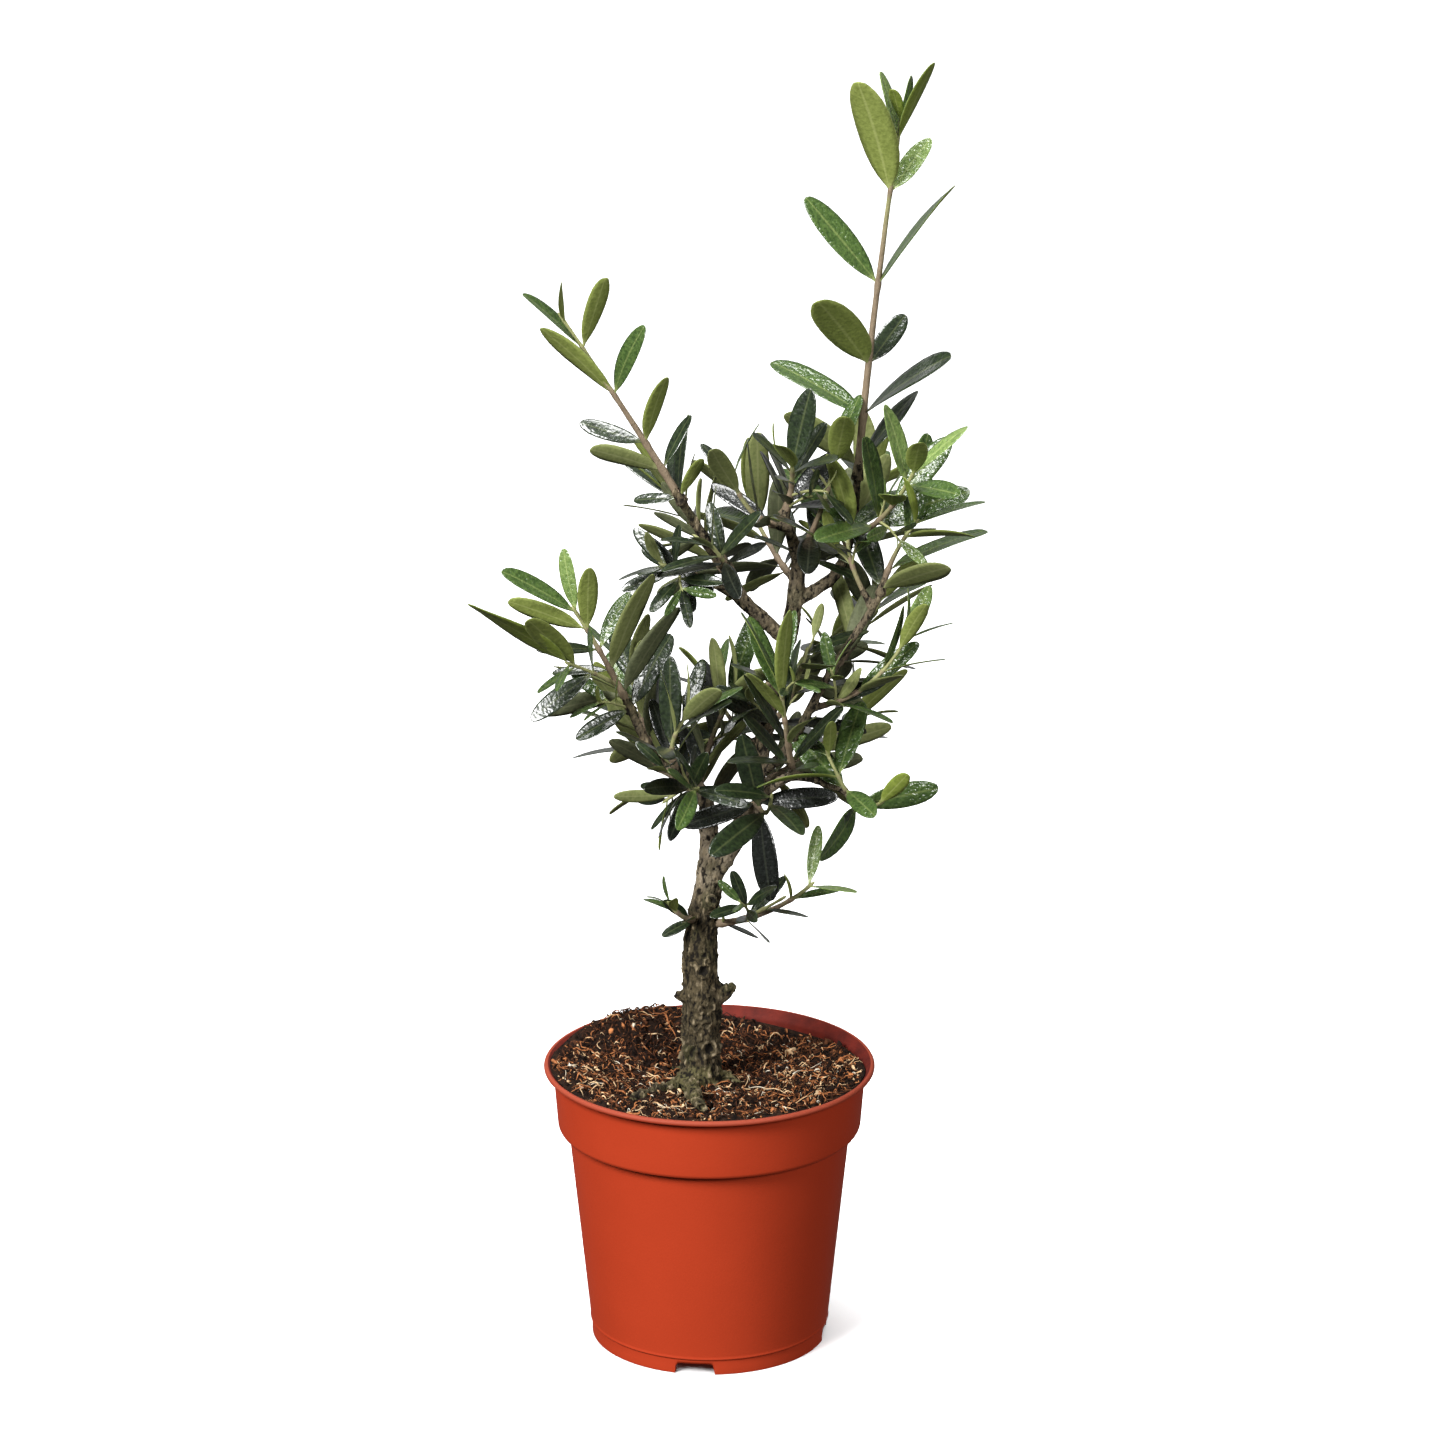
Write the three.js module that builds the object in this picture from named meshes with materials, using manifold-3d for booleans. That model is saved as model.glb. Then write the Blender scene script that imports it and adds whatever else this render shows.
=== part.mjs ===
// A young olive tree in a round plastic nursery pot.
// Millimetres, +Z up. The origin is the centre of the pot's underside, and the viewer stands on the -Y side.
// The trunk forks above the soil into boughs, and each spray of foliage grows from a bough by one leafing
// rule: opposite pairs of leaves along a bowed twig, each pair turned a quarter turn on from the pair below.
import * as THREE from "three";
import { mergeVertices } from "three/addons/utils/BufferGeometryUtils.js";
import Module from "manifold-3d";

const wasm = await Module();
wasm.setup();

// Clearance between neighbouring solids
const GAP = 0.3;

// Driving sizes of the pot: radii and heights of its outline
const POT = {
  height: 104.4,
  rimRadius: 60,
  rimInnerRadius: 58.4,
  lipHeight: 1.7,
  bandTopRadius: 56.6,
  bandFootRadius: 54.9,
  bandFootHeight: 81,
  bodyTopRadius: 51.1,
  bodyFootRadius: 43.4,
  footRadius: 43,
  footHeight: 6,
  footWidth: 1.8,
  padRadius: 11,
  floorHeight: 4.4,
  wall: 1.1,
  segments: 36,
};
const NOTCH = { width: 14.6, height: 4.2, depth: 8, count: 4, firstAzimuth: -97 };

// The soil: its level at the trunk, its rise at the pot's wall, and the rises and dips of its top
const SOIL = {
  level: 98.2,
  flatRadius: 15,
  edgeLevel: 99.6,
  wallRise: 2,
  wallReach: 18,
  rimDrop: 0.4,
  rimSlope: 0.55,
  rings: 5,
  segments: 36,
  bumps: [
    { x: -27, y: 42, spread: 17, rise: 6.5 },
    { x: 30, y: 36, spread: 20, rise: -2.6 },
    { x: -34, y: -24, spread: 18, rise: 1.4 },
    { x: 30, y: -26, spread: 15, rise: 2.2 },
    { x: -54, y: 0, spread: 16, rise: 2.2 },
    { x: 53, y: -12, spread: 15, rise: 1.6 },
    { x: 0, y: -55, spread: 16, rise: 1.8 },
  ],
};
const TRUNK_FOOT = { x: -2.7, y: -3 };

// Each limb is a list of waypoints down its middle: x, y, z and radius
const LIMBS = {
  trunk: {
    sides: 10,
    path: [
      [-2.4, -3.2, 92, 9.2],
      [-2.7, -3, 99, 8.4],
      [-3, -3, 106, 7.0],
      [-3, -3, 116, 6.9],
      [-2.8, -2.4, 131, 7.0],
      [-3.3, -2, 144, 6.4],
      [-2.6, -1, 157, 6.1],
      [-0.8, -0.2, 170, 5.3],
      [1.0, 0, 180, 5.2],
      [1.9, 0, 185, 4.3],
    ],
  },
  bough_left: {
    sides: 8,
    path: [
      [-0.5, 0, 179, 3.6],
      [-0.1, 0, 192.9, 3.5],
      [-1.5, -1, 204.6, 3.1],
      [-7.6, -4, 213.6, 2.6],
      [-16.7, -6, 219, 2.2],
      [-23.4, -8, 231, 1.8],
      [-27.3, -8, 239.8, 1.5],
    ],
  },
  bough_main: {
    sides: 9,
    path: [
      [1.0, 0, 176, 4.3],
      [8.9, 0, 189.2, 4.1],
      [14.9, 0, 201.2, 3.7],
      [17.3, 1, 215.2, 3.3],
      [20.9, 3, 235, 3.1],
      [26.2, 4, 257.2, 3.1],
      [28.2, 4, 264, 3.0],
    ],
  },
  bough_upper_left: {
    sides: 8,
    path: [
      [28.0, 4, 262, 2.7],
      [18.7, 4, 270.9, 2.7],
      [10.9, 3, 278.9, 2.7],
      [6.7, 1, 289.5, 2.6],
      [1.1, -1, 297.4, 2.2],
      [-6.6, -4, 311, 1.7],
      [-9.1, -6, 316, 1.6],
    ],
  },
  bough_centre: {
    sides: 8,
    path: [
      [28.2, 4, 262, 3.0],
      [30.7, 4, 281.2, 3.0],
      [31.4, 3, 291.1, 2.6],
      [28.5, 0, 303.7, 1.9],
      [26.3, -2, 310.5, 1.7],
    ],
  },
  bough_upper_right: {
    sides: 8,
    path: [
      [30.6, 4, 277, 2.4],
      [40.3, 6, 282.5, 2.3],
      [46.3, 8, 288.2, 2.1],
      [50.5, 10, 301.6, 1.8],
      [52.2, 10, 319.9, 1.5],
    ],
  },
  bough_right: {
    sides: 7,
    path: [
      [17.1, 1, 212.2, 1.9],
      [28.7, -6, 226.9, 1.8],
      [40.5, -12, 251.8, 1.6],
      [48.9, -14, 266.4, 1.4],
      [56.5, -15, 278.8, 1.3],
      [59.9, -16, 285.3, 1.2],
    ],
  },
  bough_lower_right: {
    sides: 7,
    path: [
      [15.4, 0, 203.5, 2.2],
      [28.7, -12, 217, 1.9],
      [41, -18, 216.6, 1.5],
      [49.8, -20, 212.8, 1.2],
    ],
  },
  bough_side: {
    sides: 7,
    path: [
      [12.0, 3, 277.5, 1.7],
      [4.6, 3.5, 282, 1.6],
      [-3.2, 3, 286.2, 1.3],
      [-9.5, 1, 289.4, 1.1],
    ],
  },
};

// Pruned stubs on the trunk, and the surface roots that run out from its flare
const STUBS = [
  { from: [-2.8, -2.2, 127], to: [8.8, -3, 135.4], radius: [4.8, 2.5] },
  { from: [-2.8, -2.2, 129.5], to: [-12.6, -5, 131.8], radius: [3, 2.1] },
  { from: [-3, -2, 141], to: [-2, -9, 142.4], radius: [3.2, 2.4] },
  { from: [-2, -1, 165], to: [1.5, -7.4, 169], radius: [3.6, 2.6] },
];
const ROOTS = [
  { path: [[-6, -6, 101, 3.4], [-13, -13, 99.6, 2.4], [-20, -21, 100.4, 1.9], [-28, -32, 101.9, 1]] },
  { path: [[-5, -7, 101, 3.8], [-6.5, -16, 99.8, 3.2], [-5.4, -26, 100.6, 2.8], [-2.4, -42, 102.6, 1.8]] },
  { path: [[1, -2, 101.4, 3.2], [7, -4, 99.2, 2], [12, -7, 98.8, 1.2]] },
  { path: [[-5, 0, 101, 3], [-10, 4, 99.1, 1.8], [-14, 7, 98.8, 1]] },
];

// One leafing rule makes every spray; these are its shared sizes
const LEAF = {
  widthShare: 0.33,
  petiole: 2.6,
  thickness: 0.9,
  foldShare: 0.16,
  droopShare: 0.1,
  lightShare: 0.35,
  openJitter: 11,
  rollJitter: 16,
  lengthJitter: 0.16,
  twistJitter: 24,
  clearance: 0.4,
};
const TWIG = { sides: 3, stepLength: 13, lastPair: 0.98 };

// The sprays. A spray's first shoot stands on a limb, at a share of its length; the rest branch from that
// shoot. leaf holds the lengths at foot, middle and tip, open the angles from the twig at foot and tip, and
// roll the first pair's turn.
// The leading shoots stand free of the crown, so their pairs are measured one by one. Each row holds a pair's
// place on the twig and its turn, then the length, the opening and the twist of each of its two leaves.
const SPRAYS = {
  spray_top_leader: [
    { on: "bough_upper_right", at: 1, tip: [66.5, 4, 452], bow: [-1, 1, 0], radius: [1.5, 0.6], broad: 1.25,
      rows: [
        [0.04, 280, [32, 54, 60], [31, 30, 10]], [0.18, 240, [38, 70, -10], [40, 42, 20]],
        [0.32, 320, [42, 46, 30], [22, 50, 40]], [0.54, 250, [37, 50, -20], [43, 26, 20]],
        [0.79, 300, [42, 22, 30], [21, 34, 50]], [0.93, 230, [22, 22, 10], [31, 14, 10]],
        [0.98, 330, [14, 30, -10], [14, 16, 90]],
      ] },
  ],
  spray_upper_left: [
    { on: "bough_upper_left", at: 1, tip: [-51, -14, 385], bow: [1.5, 1, -1.5], radius: [1.5, 0.5], broad: 1.1,
      rows: [
        [0.03, 250, [15, 70, -40], [17, 54, -40]], [0.19, 290, [26, 38, 50], [19, 58, 20]],
        [0.34, 250, [22, 46, -30], [26, 42, -30]], [0.6, 250, [33, 10, 50], [28, 46, 60]],
        [0.84, 270, [27, 10, -20], [26, 46, -50]], [0.97, 220, [16, 10, -90], [17, 30, 40]],
      ] },
  ],
  spray_lower_left: [
    { on: "bough_left", at: 1, tip: [-47, -14, 279], bow: [0.5, 0, 0.5], radius: [1.4, 0.6], broad: 1.05,
      rows: [
        [0.03, 300, [21, 82, -50], [28, 58, 60]], [0.17, 270, [28, 78, 80], [37, 50, -50]],
        [0.4, 270, [18, 62, -20], [38, 42, -50]], [0.6, 300, [22, 50, -30], [21, 58, 40]],
        [0.8, 250, [27, 42, 80], [25, 30, -50]], [0.97, 300, [30, 22, -40], [21, 18, 10]],
      ] },
    { branch: 0.25, tip: [-49, -25, 263], bow: [0, 0, 0.5], radius: [0.9, 0.5], broad: 1.05,
      rows: [
        [0.5, 270, [25, 62, -30], [18, 40, 10]], [0.85, 100, [33, 18, -10], [15, 50, 0]],
        [0.98, 150, [46, 18, 80], [14, 50, 0]],
      ] },
  ],
  foliage_right_front: [
    { on: "bough_upper_right", at: 0.72, tip: [71, -24, 332], bow: [0, -3, -4], radius: [1.2, 0.6], broad: 1.2,
      pairs: 5, first: 0.35, leaf: [42, 28, 20], open: [66, 33], roll: 155, seed: 95 },
  ],
  foliage_right_tip: [
    { on: "bough_right", at: 1, tip: [72, -18, 312], bow: [-1, 2, 1], radius: [1.2, 0.5], broad: 1,
      pairs: 4, first: 0.07, leaf: [38, 38, 19], open: [69, 33], roll: 25, seed: 31 },
  ],
  foliage_right_inner: [
    { on: "bough_right", at: 0.84, tip: [50, -6, 308], bow: [-4, 0, 2], radius: [1, 0.5], broad: 1.2,
      pairs: 5, first: 0.44, leaf: [25, 33, 21], open: [62, 43], roll: 45, seed: 111 },
  ],
  foliage_right_middle: [
    { on: "bough_right", at: 0.32, tip: [69, -27, 273], bow: [2, -7, -3], radius: [1.1, 0.5], broad: 0.9,
      pairs: 6, first: 0.12, leaf: [21, 24, 16], open: [29, 26], roll: 170, seed: 77 },
  ],
  foliage_front: [
    { on: "bough_lower_right", at: 0.36, tip: [25, -29, 256], bow: [0, -7, 1], radius: [1.3, 0.6], broad: 0.95,
      pairs: 6, first: 0.07, leaf: [25, 31, 26], open: [42, 19], roll: 35, seed: 42 },
  ],
  foliage_centre: [
    { on: "bough_main", at: 0.62, tip: [34, -16, 264], bow: [1, -6, -1], radius: [1.2, 0.6], broad: 1.05,
      pairs: 5, first: 0.15, leaf: [26, 30, 27], open: [71, 48], roll: 105, seed: 298 },
  ],
  foliage_lower_right: [
    { on: "bough_lower_right", at: 1, tip: [60, -27, 212], bow: [-1, -2, -2], radius: [1.1, 0.5], broad: 1.2,
      pairs: 2, first: 0.32, leaf: [20, 27, 13], open: [69, 36], roll: 35, seed: 208 },
    { branch: 0.04, tip: [42, -25, 229], bow: [1, -3, -2], radius: [0.9, 0.5], broad: 1.25,
      pairs: 3, first: 0.34, leaf: [21, 26, 13], open: [76, 46], roll: 35, seed: 1 },
  ],
  foliage_low_front: [
    { on: "bough_main", at: 0.38, tip: [22, -31, 216], bow: [1, -2, -5], radius: [1.1, 0.5], broad: 1.05,
      pairs: 5, first: 0.09, leaf: [26, 29, 21], open: [71, 45], roll: 105, seed: 55 },
  ],
  foliage_left_front: [
    { on: "bough_left", at: 0.5, tip: [-4, -31, 219], bow: [-1, 0, -2], radius: [1.1, 0.5], broad: 0.9,
      pairs: 5, first: 0.5, leaf: [19, 23, 20], open: [48, 29], roll: 70, seed: 68 },
  ],
  foliage_left_low: [
    { on: "bough_left", at: 0.34, tip: [-15, -8, 207], bow: [2, -2, 5], radius: [1, 0.5], broad: 0.85,
      pairs: 5, first: 0.38, leaf: [15, 19, 17], open: [59, 46], roll: 335, seed: 267 },
  ],
  foliage_left_middle: [
    { on: "bough_left", at: 0.55, tip: [-8, -17, 241], bow: [-4, -2, 0], radius: [1.1, 0.5], broad: 0.95,
      pairs: 6, first: 0.2, leaf: [18, 27, 22], open: [49, 25], roll: 0, seed: 74 },
  ],
  foliage_left_inner: [
    { on: "bough_left", at: 0.42, tip: [9, 3, 244], bow: [-1, 4, 0], radius: [1.2, 0.6], broad: 0.85,
      pairs: 6, first: 0.16, leaf: [19, 36, 21], open: [46, 29], roll: 25, seed: 84 },
  ],
  foliage_side: [
    { on: "bough_side", at: 1, tip: [-16, -5, 293], bow: [1, 0, -1], radius: [1, 0.5], broad: 1.15,
      pairs: 5, first: 0.05, leaf: [14, 17, 17], open: [72, 34], roll: 255, seed: 298 },
  ],
  foliage_upper_left: [
    { on: "bough_upper_left", at: 0.7, tip: [-11, 14, 310], bow: [-1, 3, -1], radius: [1, 0.5], broad: 0.9,
      pairs: 6, first: 0.06, leaf: [17, 19, 26], open: [50, 24], roll: 10, seed: 22 },
  ],
  foliage_fork: [
    { on: "bough_upper_left", at: 0.52, tip: [1, -12, 302], bow: [1, -3, 0], radius: [1, 0.5], broad: 1.05,
      pairs: 5, first: 0.27, leaf: [15, 22, 19], open: [67, 37], roll: 95, seed: 105 },
  ],
  foliage_top: [
    { on: "bough_centre", at: 1, tip: [29, -11, 330], bow: [1, 2, -1], radius: [1.4, 0.6], broad: 1.25,
      pairs: 6, first: 0.15, leaf: [20, 21, 26], open: [57, 26], roll: 60, seed: 58 },
  ],
  foliage_top_left: [
    { on: "bough_centre", at: 0.8, tip: [8, -8, 326], bow: [-2, -1, -4], radius: [1.2, 0.6], broad: 0.9,
      pairs: 4, first: 0.24, leaf: [17, 27, 22], open: [61, 28], roll: 5, seed: 263 },
  ],
  foliage_top_right: [
    { on: "bough_centre", at: 0.52, tip: [44, -7, 331], bow: [1, -3, 0], radius: [1.2, 0.6], broad: 1.05,
      pairs: 4, first: 0.06, leaf: [16, 29, 28], open: [73, 39], roll: 80, seed: 8 },
  ],
  foliage_trunk_right: [
    { on: "trunk", at: 0.67, tip: [36, -17, 178], bow: [2, -1, -3], radius: [1.6, 0.6], broad: 0.9,
      pairs: 4, first: 0.16, leaf: [14, 15, 19], open: [57, 44], roll: 305, seed: 269 },
    { branch: 0.3, tip: [26, -17, 173], bow: [-1, 0, -1], radius: [0.9, 0.5], broad: 0.85,
      pairs: 3, first: 0.28, leaf: [15, 18, 20], open: [63, 17], roll: 350, seed: 279 },
  ],
  foliage_trunk_left: [
    { on: "trunk", at: 0.7, tip: [-14, -12, 169], bow: [0, -1, -3], radius: [1.4, 0.6], broad: 1.2,
      pairs: 4, first: 0.2, leaf: [16, 11, 9], open: [28, 29], roll: 35, seed: 168 },
  ],
};

// The sprays behind: the crown is as full there, so they are set out by a loop, round the back of each bough
const REAR = [
  { on: "bough_centre", at: 0.3, azimuth: 114, reach: 42, rise: 19, pairs: 7, roll: 45, seed: 132 },
  { on: "bough_upper_right", at: 0.5, azimuth: 74, reach: 42, rise: 21, pairs: 7, roll: 160, seed: 228 },
  { on: "bough_upper_left", at: 0.42, azimuth: 123, reach: 39, rise: 25, pairs: 6, roll: 75, seed: 183 },
  { on: "bough_main", at: 0.76, azimuth: 65, reach: 47, rise: 1, pairs: 6, roll: 230, seed: 160 },
  { on: "bough_main", at: 0.56, azimuth: 114, reach: 43, rise: 11, pairs: 7, roll: 195, seed: 165 },
  { on: "bough_main", at: 0.44, azimuth: 53, reach: 58, rise: 10, pairs: 7, roll: 260, seed: 180 },
  { on: "bough_left", at: 0.36, azimuth: 128, reach: 47, rise: 21, pairs: 7, roll: 25, seed: 274 },
  { on: "bough_left", at: 0.74, azimuth: 105, reach: 31, rise: 21, pairs: 6, roll: 25, seed: 139 },
  { on: "bough_right", at: 0.45, azimuth: 65, reach: 42, rise: 14, pairs: 6, roll: 290, seed: 246 },
];
const REAR_RULE = {
  first: 0.2,
  leaf: [20, 30, 18],
  open: [62, 28],
  radius: [1.3, 0.6],
  broad: 1.05,
  bow: [0, 2, -3],
};

const COLOURS = {
  pot: { color: 0xbe452a, roughness: 0.5, metalness: 0 },
  soil: { color: 0x4a2d1c, roughness: 1, metalness: 0 },
  bark: { color: 0x7a6d58, roughness: 0.9, metalness: 0 },
  leaf: { color: 0x46562f, roughness: 0.45, metalness: 0 },
};

const FRONT = new THREE.Vector3(0, -1, 0);
const UP = new THREE.Vector3(0, 0, 1);
const radians = THREE.MathUtils.degToRad;

// A seeded stream of numbers from -1 to 1: a 32-bit linear congruential generator
function jitterStream(seed) {
  let state = (Math.imul(seed, 2654435761) + 12345) >>> 0;
  return () => {
    state = (Math.imul(state, 1664525) + 1013904223) >>> 0;
    return (state / 4294967296) * 2 - 1;
  };
}

// A closed geometry as a manifold solid
function solidOf(geometry) {
  const bare = geometry.clone();
  for (const name of ["normal", "uv"]) bare.deleteAttribute(name);
  const merged = mergeVertices(bare, 1e-4);
  const vertProperties = merged.attributes.position.array;
  const triVerts = new Uint32Array(merged.index.array);
  return new wasm.Manifold(new wasm.Mesh({ numProp: 3, vertProperties, triVerts }));
}

// A manifold solid as a geometry
function geometryOf(solid) {
  const mesh = solid.getMesh();
  const geometry = new THREE.BufferGeometry();
  geometry.setAttribute("position", new THREE.BufferAttribute(new Float32Array(mesh.vertProperties), 3));
  geometry.setIndex(new THREE.BufferAttribute(new Uint32Array(mesh.triVerts), 1));
  geometry.computeVertexNormals();
  return geometry;
}

// Points and triangles as a closed geometry
function geometryFrom(points, triangles) {
  const geometry = new THREE.BufferGeometry();
  geometry.setAttribute("position", new THREE.Float32BufferAttribute(points.flatMap((p) => p.toArray()), 3));
  geometry.setIndex(triangles.flat());
  return geometry;
}

// The largest body of a solid, without the scraps that a cut left
function largestBody(solid) {
  return solid.decompose().reduce((a, b) => (b.volume() > a.volume() ? b : a));
}

// Two triangles for each side of a ring joined to the next ring
function bandTriangles(lower, upper, sides) {
  const triangles = [];
  for (let i = 0; i < sides; i++) {
    const j = (i + 1) % sides;
    triangles.push([lower + i, lower + j, upper + j], [lower + i, upper + j, upper + i]);
  }
  return triangles;
}

// A round limb of varying radius along a curve, closed by flat ends
function limbSolid(curve, radiusAt, sides, steps) {
  const frames = curve.computeFrenetFrames(steps, false);
  const points = [];
  const triangles = [];
  for (let k = 0; k <= steps; k++) {
    const t = k / steps;
    const centre = curve.getPoint(t);
    for (let i = 0; i < sides; i++) {
      const turn = (2 * Math.PI * i) / sides;
      const out = frames.normals[k].clone().multiplyScalar(Math.cos(turn));
      out.addScaledVector(frames.binormals[k], Math.sin(turn));
      points.push(centre.clone().addScaledVector(out, radiusAt(t)));
    }
    if (k) triangles.push(...bandTriangles((k - 1) * sides, k * sides, sides));
  }
  const foot = points.push(curve.getPoint(0)) - 1;
  const tip = points.push(curve.getPoint(1)) - 1;
  for (let i = 0; i < sides; i++) {
    const j = (i + 1) % sides;
    triangles.push([foot, j, i], [tip, steps * sides + i, steps * sides + j]);
  }
  return solidOf(geometryFrom(points, triangles));
}

// The curve and radius of a list of waypoints
function waypointLimb(path) {
  const points = path.map(([x, y, z]) => new THREE.Vector3(x, y, z));
  const curve = new THREE.CatmullRomCurve3(points, false, "catmullrom", 0.5);
  const radiusAt = (t) => {
    const place = Math.min(t * (path.length - 1), path.length - 1 - 1e-9);
    const i = Math.floor(place);
    return THREE.MathUtils.lerp(path[i][3], path[i + 1][3], place - i);
  };
  return { curve, radiusAt, steps: (path.length - 1) * 2 };
}

// A limb's solid, made thicker and longer by grow
function grownLimb(limb, sides, grow) {
  if (!grow) return limbSolid(limb.curve, limb.radiusAt, sides, limb.steps);
  const last = limb.curve.getPoint(1);
  const beyond = last.clone().addScaledVector(limb.curve.getTangent(1), grow);
  const cap = new THREE.LineCurve3(last, beyond);
  const thick = limbSolid(limb.curve, (t) => limb.radiusAt(t) + grow, sides, limb.steps);
  return thick.add(limbSolid(cap, () => limb.radiusAt(1) + grow, sides, 1));
}

// The pot: a thin shell on a foot ring and a middle pad, with notches cut through the ring
function potSolid() {
  const p = POT;
  const outline = [
    [0, 0], [p.padRadius, 0], [p.padRadius + 1, p.floorHeight],
    [p.footRadius - p.footWidth - 0.6, p.floorHeight], [p.footRadius - p.footWidth, 0], [p.footRadius, 0],
    [p.bodyFootRadius, p.footHeight], [p.bodyTopRadius, p.bandFootHeight - 0.7],
    [p.bandFootRadius, p.bandFootHeight], [p.bandTopRadius, p.height - p.lipHeight],
    [p.rimRadius - 0.3, p.height - p.lipHeight], [p.rimRadius, p.height - p.lipHeight / 2],
    [p.rimRadius - 0.5, p.height], [p.rimInnerRadius, p.height],
    [p.bandTopRadius - p.wall, p.height - p.lipHeight - 1],
    [p.bandFootRadius - p.wall, p.bandFootHeight + p.wall],
    [p.bodyTopRadius - p.wall, p.bandFootHeight - 0.2],
    [p.bodyFootRadius - p.wall, p.footHeight], [0, p.floorHeight + p.wall],
  ].map(([r, z]) => new THREE.Vector2(r, z));
  let pot = solidOf(new THREE.LatheGeometry(outline, p.segments).rotateX(Math.PI / 2));
  for (let i = 0; i < NOTCH.count; i++) {
    const turn = radians(NOTCH.firstAzimuth + (360 / NOTCH.count) * i);
    const box = new THREE.BoxGeometry(NOTCH.depth, NOTCH.width, NOTCH.height * 2);
    box.translate(p.footRadius, 0, 0).rotateZ(turn);
    pot = pot.subtract(solidOf(box));
  }
  return pot;
}

// Height of the soil's top at a point. Near the rim it stays under a cone that falls towards the rim.
function soilTop(x, y) {
  const away = Math.hypot(x - TRUNK_FOOT.x, y - TRUNK_FOOT.y);
  const share = THREE.MathUtils.smoothstep(away, SOIL.flatRadius, SOIL.flatRadius + 20);
  const bumps = SOIL.bumps.reduce(
    (sum, b) => sum + b.rise * Math.exp(-((x - b.x) ** 2 + (y - b.y) ** 2) / (2 * b.spread ** 2)), 0);
  const radius = Math.hypot(x, y);
  const near = THREE.MathUtils.smoothstep(radius, POT.bandFootRadius - SOIL.wallReach, POT.bandFootRadius);
  const cone = POT.height - SOIL.rimDrop + SOIL.rimSlope * (POT.rimInnerRadius - radius);
  const top = SOIL.level + share * (SOIL.edgeLevel - SOIL.level + bumps) + near * SOIL.wallRise;
  return Math.min(top, cone);
}

// Radius of the soil's side at a height: along the band's inner wall, then along the rim's inner slope
function soilRadius(z) {
  const slopeFoot = POT.height - POT.lipHeight - 1;
  const slope = (POT.rimInnerRadius - POT.bandTopRadius + POT.wall) / (POT.height - slopeFoot);
  const band = [POT.bandFootHeight, POT.height, POT.bandFootRadius, POT.bandTopRadius];
  return THREE.MathUtils.mapLinear(z, ...band) - POT.wall - GAP + slope * Math.max(0, z - slopeFoot);
}

// The soil: a plug inside the pot, whose top runs from a flat disc round the trunk out to the pot's wall
function soilSolid(raise = 0) {
  const { rings, segments } = SOIL;
  const slopeFoot = POT.height - POT.lipHeight - 1;
  const edge = Array.from({ length: segments }, (_, i) => {
    const turn = (2 * Math.PI * i) / segments;
    const wall = soilRadius(SOIL.edgeLevel);
    const z = Math.min(soilTop(wall * Math.cos(turn), wall * Math.sin(turn)), POT.height - SOIL.rimDrop);
    return { z, radius: soilRadius(z) };
  });
  const points = [];
  const triangles = [];
  for (let k = 0; k <= rings; k++) {
    for (let i = 0; i < segments; i++) {
      const turn = (2 * Math.PI * i) / segments;
      const rim = edge[i].radius;
      const nearX = TRUNK_FOOT.x + SOIL.flatRadius * Math.cos(turn);
      const nearY = TRUNK_FOOT.y + SOIL.flatRadius * Math.sin(turn);
      const x = THREE.MathUtils.lerp(nearX, rim * Math.cos(turn), k / rings);
      const y = THREE.MathUtils.lerp(nearY, rim * Math.sin(turn), k / rings);
      points.push(new THREE.Vector3(x, y, soilTop(x, y) + raise));
    }
    if (k) triangles.push(...bandTriangles(k * segments, (k - 1) * segments, segments));
  }
  const ledge = POT.bandFootHeight + POT.wall;
  const underLedge = POT.bodyTopRadius - POT.wall - 2 * GAP;
  const bend = edge.map(({ z }) => Math.min(z - 0.5, slopeFoot));
  const sides = [
    (i) => [bend[i], soilRadius(bend[i])],
    () => [ledge + 2 * GAP, soilRadius(ledge + 2 * GAP)],
    () => [ledge - GAP, underLedge],
    () => [POT.footHeight + GAP, POT.bodyFootRadius - POT.wall - GAP],
  ];
  sides.forEach((side, k) => {
    for (let i = 0; i < segments; i++) {
      const turn = (2 * Math.PI * i) / segments;
      const [z, radius] = side(i);
      points.push(new THREE.Vector3(radius * Math.cos(turn), radius * Math.sin(turn), z));
    }
    triangles.push(...bandTriangles((rings + k + 1) * segments, (rings + k) * segments, segments));
  });
  const middle = points.push(new THREE.Vector3(TRUNK_FOOT.x, TRUNK_FOOT.y, SOIL.level + raise)) - 1;
  const under = points.push(new THREE.Vector3(0, 0, POT.footHeight + GAP)) - 1;
  const last = (rings + sides.length) * segments;
  for (let i = 0; i < segments; i++) {
    const j = (i + 1) % segments;
    triangles.push([middle, i, j], [under, last + j, last + i]);
  }
  return solidOf(geometryFrom(points, triangles));
}

// The twig of a shoot: a quadratic curve from its foot to its tip, pulled aside by its bow
function shootCurve(shoot, foot) {
  const tip = new THREE.Vector3(...shoot.tip);
  const control = foot.clone().lerp(tip, 0.5).addScaledVector(new THREE.Vector3(...shoot.bow), 2);
  return new THREE.QuadraticBezierCurve3(foot, control, tip);
}

// Shares of a twig's length at which its pairs stand, up to just short of its tip: long steps in the middle,
// short ones at foot and tip
function pairPlaces(pairs, first) {
  const stepAt = (k) => 0.35 + 0.9 * Math.sin((Math.PI * (k + 0.5)) / (pairs - 1)) ** 2;
  const steps = Array.from({ length: pairs - 1 }, (_, k) => stepAt(k));
  const total = steps.reduce((a, b) => a + b, 0);
  let place = first;
  return [first, ...steps.map((step) => (place += (step / total) * (TWIG.lastPair - first)))];
}

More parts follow.
